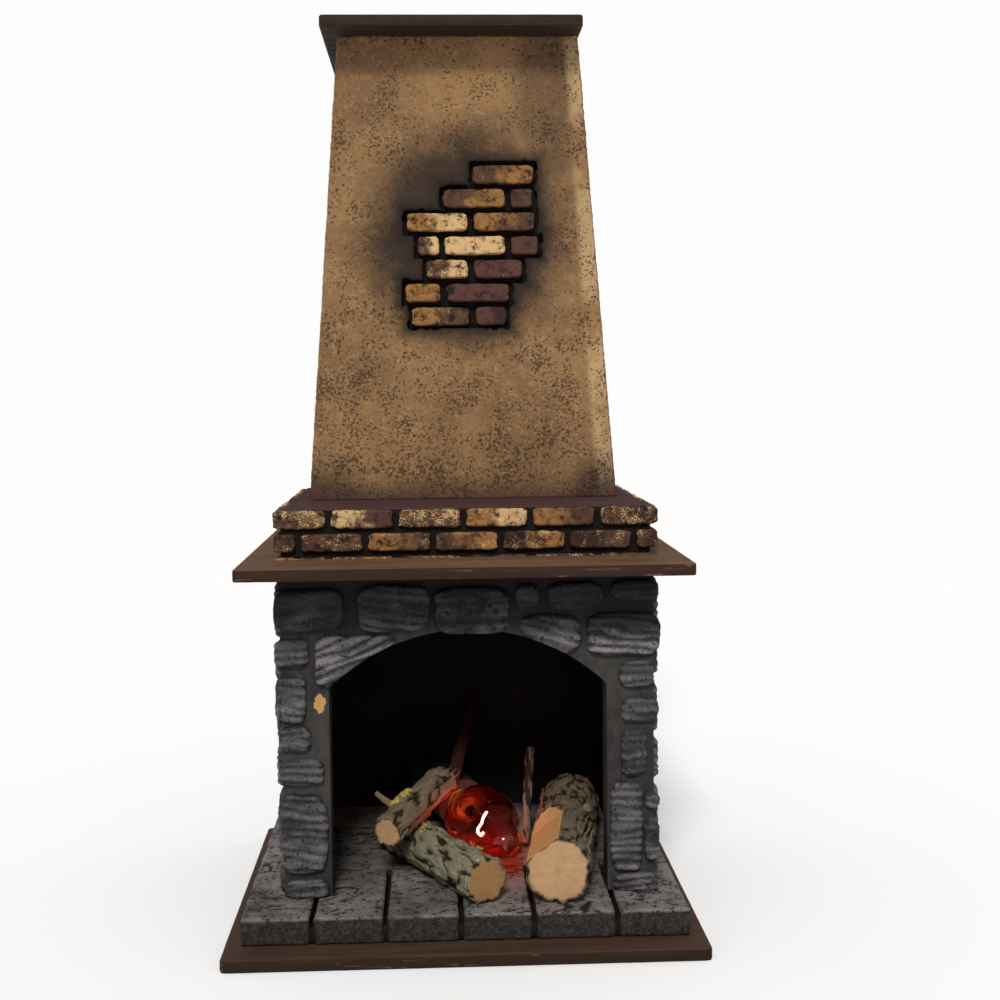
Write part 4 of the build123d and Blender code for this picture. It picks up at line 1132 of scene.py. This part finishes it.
def hearth(material, joint):
    """Hearth blocks, the slab under the fire, and the black in their joints."""
    blocks = sorted(node for node in frame["nodes"] if node.startswith("hearth_block"))
    for seed, node in enumerate([*blocks, "firebox_floor"]):
        low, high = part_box(node)
        bm = fresh_mesh()
        step = HEARTH_STEP if node in blocks else 2.0 * HEARTH_STEP
        cut_box(bm, low, high, step, HEARTH_EDGE)
        shape_relief(bm, hearth_relief(seed), ("raised", "upward"))
        finish_piece(bm, f"rough_{node}", material, [node])
    low, high = corners_of([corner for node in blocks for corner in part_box(node)])
    inset = Vector((GROUT_INSET, GROUT_INSET, 0))
    high.z -= GROUT_DEPTH
    bm = fresh_mesh()
    cut_box(bm, low + inset, high - inset, 4 * HEARTH_STEP, 0.5 * MM)
    shape_relief(bm, lambda point, normal: (0.2 * MM * soft_noise(point, 5 * MM), 0.5))
    finish_piece(bm, "hearth_joint_filling", joint)


def ledge_core(material):
    """The ledge behind its bricks, with a rough top."""
    low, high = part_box("ledge_core")
    bm = fresh_mesh()
    cut_box(bm, low, high, 2 * MM, 0.6 * MM)
    shape_relief(bm, lambda point, normal: (0.18 * MM * soft_noise(point, 4 * MM), 0.5))
    finish_piece(bm, "rough_ledge_core", material, ["ledge_core"])


# ---------------------------------------------------------------- logs
def turned_log(bm, length, radius, bevel, segments, step):
    """A round bar along Z, made by spinning its outline, with its two flat ends."""
    outline = []
    rings = max(3, round(radius / (1.6 * step)))
    outline += [(radius * 0.97 * share / rings, 0.0) for share in range(rings)]
    outline += [(radius - bevel, 0.0), (radius, bevel)]
    runs = max(2, round(length / step))
    outline += [(radius, bevel + (length - 2 * bevel) * share / runs) for share in range(1, runs + 1)]
    outline += [(radius - bevel, length)]
    outline += [(radius * 0.97 * share / rings, length) for share in range(rings - 1, -1, -1)]
    spin_outline(bm, outline, segments)


def bark_log(node, name, material, seed, ridge, facet=None, knots=(), bark=BARK_SHARE,
             segments=LOG_SEGMENTS):
    """A log with cracked bark. facet is the angle, depth and end of a bare strip; knots are angle, place, size."""
    start, end, radius = log_ends(node)
    length = (end - start).length
    bm = fresh_mesh()
    step = LOG_STEP if radius > 5 * MM else 0.7 * LOG_STEP
    turned_log(bm, length, radius * 0.99, 0.5 * MM, segments, step)
    raised, ring, sawn, bare = [bm.verts.layers.float[k] for k in ("raised", "ring", "sawn", "bare")]
    wood_radius = radius * (1 - bark)
    for v in bm.verts:
        out = Vector((v.co.x, v.co.y, 0))
        distance = out.length
        on_end = min(v.co.z, length - v.co.z) < 0.01 * MM
        v[ring] = distance
        v[sawn] = 1.0 if on_end and distance < wood_radius else 0.0
        direction = out.normalized() if distance > 0 else Vector((1, 0, 0))
        bend = Vector((seed, v.co.z / (26 * MM), 0))
        outline = 1 + 0.06 * noise.noise(direction * 1.3 + bend)
        spot = Vector((direction.x * radius / (3.4 * MM), direction.y * radius / (3.4 * MM),
                       v.co.z / (11 * MM) + seed))
        plates = noise.multi_fractal(spot, 1.0, 2.1, 4, noise_basis="PERLIN_ORIGINAL") - 1
        crack = 1 - min(1.0, abs(noise.noise(spot * 0.8 + Vector((3, 1, 2)))) * 5)
        level = 0.55 + 0.6 * plates - 0.55 * crack
        smooth = v.co.copy()
        share = min(1.0, distance / radius) ** 6
        grow = outline + share * (ridge * MM / radius) * (1.1 * plates - 1.2 * crack)
        v[raised] = share_of(level)
        v.co.x *= grow
        v.co.y *= grow
        if on_end and distance >= wood_radius:
            v[raised] *= BARK_EDGE_SHADE
        if on_end:
            outward = 1 if v.co.z > 0.5 * length else -1
            v.co.z += 0.25 * MM * soft_noise(v.co + Vector((seed, 0, 0)), 2.5 * MM, 3) * outward
        if facet:
            facet_angle, facet_depth, facet_end = facet
            normal = Vector((math.cos(facet_angle), math.sin(facet_angle), 0))
            fade = share_of((facet_end * length - v.co.z) / (16 * MM))
            limit = radius * (1.08 - (facet_depth + 0.08) * fade ** 0.6)
            beyond = smooth.dot(normal) - limit
            if beyond > 0 and fade > 0:
                v.co = smooth - normal * beyond * (1 - 0.06 * soft_noise(smooth, 4 * MM))
                v[bare] = 0.0 if on_end else 1.0
        for knot_angle, knot_place, knot_size in knots:
            centre = Vector((math.cos(knot_angle) * radius, math.sin(knot_angle) * radius, knot_place * length))
            gap = (v.co - centre).length / (knot_size * MM)
            if gap < 2:
                swell = math.exp(-gap * gap * 1.5)
                v.co += direction * swell * knot_size * 0.32 * MM
                v[raised] = max(0.0, v[raised] - 0.5 * swell * math.cos(gap * 5))
    stand_between(bm, start, end)
    finish_piece(bm, name, material, [node])


def twig(bm, start, end, radius, seed, taper=0.6, segments=10):
    """Add a short rough twig from one point to another."""
    part = fresh_mesh()
    length = (end - start).length
    steps = max(4, round(length / (1.2 * MM)))
    sides = [(radius * (1 - (1 - taper) * k / steps), length * k / steps) for k in range(steps + 1)]
    spin_outline(part, [(0.0, 0.0), *sides, (0.0, length)], segments)
    raised = part.verts.layers.float["raised"]
    for v in part.verts:
        wave = noise.noise(v.co / (2.2 * MM) + Vector((seed, 0, 0)))
        v.co.x += 0.16 * radius * wave + 0.9 * MM * noise.noise(Vector((seed, 0, v.co.z / (9 * MM))))
        v.co.y += 0.16 * radius * noise.noise(v.co / (2.2 * MM) + Vector((0, seed, 0)))
        v[raised] = 0.5 + 0.4 * wave
    stand_between(part, start, end)
    join_part(bm, part)


def on_log(node, angle_deg, share, lift=0.0):
    """A point on a log's bark, at an angle round it and a share of the way along it."""
    start, end, radius = log_ends(node)
    angle = math.radians(angle_deg)
    local = Vector((math.cos(angle), math.sin(angle), 0)) * (radius + lift * MM)
    return Matrix.Translation(start.lerp(end, share)) @ log_axes(start, end) @ local


def small_wood(bark):
    """Loose strands of bark beside the right log, twig stubs, and splinters on the upper log."""
    bm = fresh_mesh()
    right = [on_log("right_log", 150 - 9 * k, 0.10 + 0.05 * k, -1.0) for k in range(4)]
    for number, spot in enumerate(right):
        twig(bm, spot, spot + Vector((5 * MM, (14 + 3 * number) * MM, (4 - number) * MM)), 0.8 * MM, 400 + number)
    stub = on_log("right_log", 122, 0.42, -1.5)
    twig(bm, stub, stub + Vector((4 * MM, -7 * MM, 6 * MM)), 2.6 * MM, 411, 0.85, 16)
    left = on_log("upper_left_log", 40, 0.30, -1.0)
    twig(bm, left, left + Vector((-9 * MM, 3 * MM, 6 * MM)), 1.8 * MM, 421, 0.7, 12)
    for number in range(4):
        spot = on_log("upper_left_log", 95 + 22 * number, 0.92, -1.2)
        twig(bm, spot, spot + Vector(((3 + number) * MM, (6 + number) * MM, (1 + 0.5 * number) * MM)), 0.6 * MM,
             430 + number, 0.3)
    finish_piece(bm, "loose_twigs_and_bark", bark)


def lichen(material):
    """Tufts of lichen on the upper log and a few crusts on the front log."""
    bm = fresh_mesh()
    spots = [("upper_left_log", 38 + 9 * (k % 5), 0.28 + 0.05 * (k // 5), 1.1 + 0.4 * (k % 3)) for k in range(25)]
    spots += [("front_left_log", 65 + 8 * (k % 3), 0.55 + 0.03 * k, 0.9) for k in range(5)]
    spots += [("front_left_log", 120 + 7 * (k % 3), 0.16 + 0.03 * k, 0.8) for k in range(4)]
    for number, (node, angle, share, size) in enumerate(spots):
        for leaf in range(5):
            turn = 2.4 * leaf + number
            middle = on_log(node, angle + 5 * math.sin(turn), share + 0.012 * math.cos(turn), 0.2 + 0.25 * leaf)
            made = bmesh.ops.create_icosphere(bm, subdivisions=2, radius=size * MM * (0.9 - 0.1 * leaf))["verts"]
            for v in made:
                v.co *= 1 + 0.5 * noise.noise(v.co / (0.5 * MM) + Vector((number, leaf, 0)))
            flat = Matrix.Translation(middle) @ Euler((turn, 0.7 * leaf, number)).to_matrix().to_4x4()
            bmesh.ops.transform(bm, matrix=flat @ Matrix.Diagonal((1, 0.8, 0.45, 1)), verts=made)
    finish_piece(bm, "lichen_tufts", material)


def bark_strip(material):
    """A curled strip of bark leaning over the lampholder."""
    low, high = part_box("bark_strip")
    size = high - low
    bm = fresh_mesh()
    bmesh.ops.create_grid(bm, x_segments=16, y_segments=60, size=0.5)
    for v in bm.verts:
        u, w = v.co.x, v.co.y + 0.5
        centre = Vector((low.x + 5 * MM + (size.x - 10 * MM) * w, low.y + size.y * w,
                         low.z + (size.z - 3 * MM) * w))
        curl = 2.0 * MM * (1 - (2 * u) ** 2)
        rough = 0.5 * MM * soft_noise(centre + Vector((u * 9 * MM, 0, 0)), 4 * MM)
        v.co = centre + Vector((u * 6.5 * MM, 0, curl + rough + MM))
        v[bm.verts.layers.float["raised"]] = 0.5 + rough / MM * 0.6
    bmesh.ops.solidify(bm, geom=bm.faces[:], thickness=0.9 * MM)
    finish_piece(bm, "curled_bark_strip", material, ["bark_strip"])


def logs():
    """Every log and twig on the hearth."""
    right = log_material("right_log_wood", (BARK_GREY, BARK_BROWN), (WOOD_TAN, WOOD_PALE), LICHEN_PALE, 0.12)
    front = log_material("cracked_grey_bark", (BARK_GREEN, BARK_GREY), (paint(142, 110, 70), paint(128, 96, 58)),
                         LICHEN_PALE, 0.34)
    upper = log_material("rough_brown_bark", (BARK_BROWN, BARK_GREY), (WOOD_PALE, WOOD_TAN), LICHEN_YELLOW, 0.2)
    bark_log("right_log", "sawn_right_log", right, 3.0, 0.9, facet=(math.radians(52), 0.22, 0.5),
             knots=((math.radians(52), 0.54, 6.0), (math.radians(120), 0.42, 5.0)))
    bark_log("front_left_log", "sawn_front_left_log", front, 9.0, 1.0, knots=((math.radians(70), 0.5, 5.0),),
             bark=THIN_BARK_SHARE)
    bark_log("upper_left_log", "sawn_upper_left_log", upper, 17.0, 1.0, knots=((math.radians(60), 0.35, 4.0),))
    bark_log("stick", "dry_stick", upper, 23.0, 0.4, segments=28)
    small_wood(upper)
    lichen(lichen_material())
    bark_strip(log_material("red_brown_bark", (paint(70, 34, 26), paint(48, 30, 24)), (WOOD_TAN, WOOD_PALE),
                            LICHEN_PALE, 0.1))


# ---------------------------------------------------------------- lamp
def lamp_axis():
    """Foot of the lamp and the direction it points, from its joint."""
    turning = next(joint for joint in frame["joints"] if joint["name"] == "lamp_unscrew")
    return Vector(turning["pos_m"]), Vector(turning["axis"]).normalized()


def lamp_glass(material):
    """The glass, spun from the outline that the model gives it, with a thin wall."""
    foot, direction = lamp_axis()
    outline = {}
    for v in frame["nodes"]["lamp_glass"].data.vertices:
        along = (v.co - foot).dot(direction)
        across = (v.co - foot - direction * along).length
        key = round(along / (1.0 * MM))
        if across > outline.get(key, (0.0, 0.0))[1]:
            outline[key] = (along, across)
    tip = max((v.co - foot).dot(direction) for v in frame["nodes"]["lamp_glass"].data.vertices)
    profile = [point for point in sorted(outline.values()) if point[0] < tip - 0.4 * MM]
    bm = fresh_mesh()
    spin_outline(bm, [(across, along) for along, across in [*profile, (tip, 0.0)]], LAMP_SEGMENTS)
    bmesh.ops.solidify(bm, geom=bm.faces[:], thickness=GLASS_WALL)
    stand_between(bm, foot, foot + direction)
    finish_piece(bm, "red_glass_envelope", material, ["lamp_glass"], "lamp")


def glowing_wire(material):
    """The glowing wire, bent into a zigzag between its supports."""
    low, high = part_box("lamp_filament")
    direction = lamp_axis()[1]
    side = Vector((-direction.y, direction.x, 0)).normalized()
    bends = [(low + high) / 2 + side * across * MM + Vector((0, 0, up * MM)) for across, up in WIRE_BENDS]
    bm = fresh_mesh()
    for number, (start, end) in enumerate(zip(bends, bends[1:])):
        twig(bm, start, end + (end - start).normalized() * WIRE_RADIUS * 0.6, WIRE_RADIUS, number, 0.95, 12)
    finish_piece(bm, "glowing_zigzag_wire", material, ["lamp_filament"], "lamp")


def coat(material, *nodes):
    """Give a material to CAD nodes that stay as they are."""
    for node in nodes:
        slots = frame["nodes"][node].data.materials
        slots.clear()
        slots.append(material)


def lamp_and_holder():
    """The lamp's pieces and its holder."""
    lamp_glass(glass_material())
    coat(stem_material(), "lamp_stem")
    glowing_wire(filament_material())
    coat(metal_material("drawn_brass", BRASS_YELLOW, 0.25), "lamp_screw_cap", "lampholder_sleeve",
         "lampholder_centre_contact", "lampholder_terminal_screws")
    coat(metal_material("zinc_plated_steel", STEEL_GREY, 0.3), "lampholder_contact_spring", "lamp_support_wires")
    # painted shade: the bracket, its screws and the lock nut darkened to sit in the firebox's shade
    coat(metal_material("steel_darkened_for_shade", SHADE_DARK_STEEL, 0.6), "lampholder_bracket", "bracket_screws",
         "lampholder_lock_nut")
    coat(moulded_material(), "lampholder_body", "lampholder_end_cap", "lamp_end_contact")


# ---------------------------------------------------------------- studio
CAMERA_PLACE = Vector((-0.01095, -0.72241, 0.24627))
CAMERA_YAW, CAMERA_PITCH, CAMERA_ROLL = (math.radians(angle) for angle in (2.45, 4.35, -0.61))
CAMERA_LENS = 54.44
KEY_FROM = Vector((-0.10, -0.78, 0.66))
KEY_STRENGTH, KEY_ANGLE, KEY_TINT = 2.5, math.radians(14), (1.0, 0.98, 0.95)
GLOW_FROM_WIRE = Vector((-6 * MM, 4 * MM, 2 * MM))
GLOW_STRENGTH, GLOW_SIZE, GLOW_TINT = 0.03, 2 * MM, (1.0, 0.38, 0.16)
PALE_SEEN, PALE_LIGHT = 0.98, 0.55
FLOOR_GAP = 0.1 * MM


def set_camera():
    """Camera in front of the fireplace, a little above its shelf."""
    data = bpy.data.cameras.new("studio_camera")
    data.lens = CAMERA_LENS
    data.clip_start = 0.01
    ahead = Vector((math.sin(CAMERA_YAW) * math.cos(CAMERA_PITCH), math.cos(CAMERA_YAW) * math.cos(CAMERA_PITCH),
                    -math.sin(CAMERA_PITCH)))
    level = Vector((math.cos(CAMERA_YAW), -math.sin(CAMERA_YAW), 0))
    above = level.cross(ahead)
    right = level * math.cos(CAMERA_ROLL) + above * math.sin(CAMERA_ROLL)
    up = above * math.cos(CAMERA_ROLL) - level * math.sin(CAMERA_ROLL)
    camera = bpy.data.objects.new("studio_camera", data)
    camera.matrix_world = Matrix.Translation(CAMERA_PLACE) @ Matrix((right, up, -ahead)).transposed().to_4x4()
    bpy.context.scene.collection.objects.link(camera)
    bpy.context.scene.camera = camera


def add_light(name, kind, spot, target, energy, size, tint, seen=True):
    """Add a light that looks at a target, and that itself is seen or not."""
    data = bpy.data.lights.new(name, kind)
    data.energy = energy
    data.color = tint
    if kind == "SUN":
        data.angle = size
    else:
        data.shadow_soft_size = size
    light = bpy.data.objects.new(name, data)
    light.location = spot
    light.rotation_euler = (Vector(target) - Vector(spot)).to_track_quat("-Z", "Y").to_euler()
    light.visible_camera = light.visible_transmission = light.visible_glossy = seen
    bpy.context.scene.collection.objects.link(light)


def set_world():
    """Pale surroundings, which light the object more softly than they look."""
    world = bpy.data.worlds.new("pale_studio")
    bpy.context.scene.world = world
    world.use_nodes = True
    tree = world.node_tree
    tree.nodes.clear()
    seen = add_node(tree, "ShaderNodeBackground", {"Color": (1.0, 1.0, 1.0, 1.0), "Strength": PALE_SEEN})
    lighting = add_node(tree, "ShaderNodeBackground", {"Color": (1.0, 0.98, 0.96, 1.0), "Strength": PALE_LIGHT})
    camera_rays = add_node(tree, "ShaderNodeLightPath").outputs["Is Camera Ray"]
    both = add_node(tree, "ShaderNodeMixShader", {0: camera_rays, 1: lighting.outputs[0], 2: seen.outputs[0]})
    out = tree.nodes.new("ShaderNodeOutputWorld")
    tree.links.new(both.outputs[0], out.inputs["Surface"])


def studio():
    """Floor, lights and camera."""
    bm = bmesh.new()
    bmesh.ops.create_grid(bm, x_segments=2, y_segments=2, size=4.0)
    mesh = bpy.data.meshes.new("studio_floor")
    bm.to_mesh(mesh)
    bm.free()
    floor = bpy.data.objects.new("studio_floor", mesh)
    mesh.materials.append(floor_material())
    mesh.transform(Matrix.Translation((0, 0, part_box("base_board")[0].z - FLOOR_GAP)))
    bpy.context.scene.collection.objects.link(floor)
    set_world()
    set_camera()
    middle = (cad_low + cad_high) / 2
    add_light("key_light", "SUN", middle + KEY_FROM, middle, KEY_STRENGTH, KEY_ANGLE, KEY_TINT)
    foot = lamp_axis()[0]
    wire_low, wire_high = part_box("lamp_filament")
    add_light("lamp_glow", "POINT", (wire_low + wire_high) / 2 + GLOW_FROM_WIRE, foot, GLOW_STRENGTH, GLOW_SIZE,
              GLOW_TINT, False)
    bpy.context.scene.view_settings.view_transform = "Standard"


# ---------------------------------------------------------------- the whole fireplace
def fireplace():
    """Every surface of the fireplace."""
    joint = joint_material()
    stone = stone_material()
    front_stones(stone)
    post_stones(stone)
    side_stones(stone)
    brickwork(brick_material())
    hood(plaster_material(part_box("hood_front"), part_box("brick_patch_bricks")))
    ledge_core(mortar_material())
    hearth(hearth_material(), joint)
    worn_board("base_board", board_material("base_board_stain", paint(62, 47, 38), BOARD_BROWN, paint(44, 33, 26)))
    worn_board("mantel_shelf", board_material("shelf_stain", BOARD_BROWN, BOARD_TAN, paint(60, 40, 31)))
    worn_board("cap_board", board_material("cap_stain", paint(56, 44, 38), BOARD_BROWN, paint(58, 45, 38)))
    coat(panel_material(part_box("arch_panel")), "arch_panel")
    coat(firebox_material(), "left_side_panel", "right_side_panel", "back_panel")
    coat(joint, "brick_patch_backing")
    logs()
    lamp_and_holder()


studio()
fireplace()
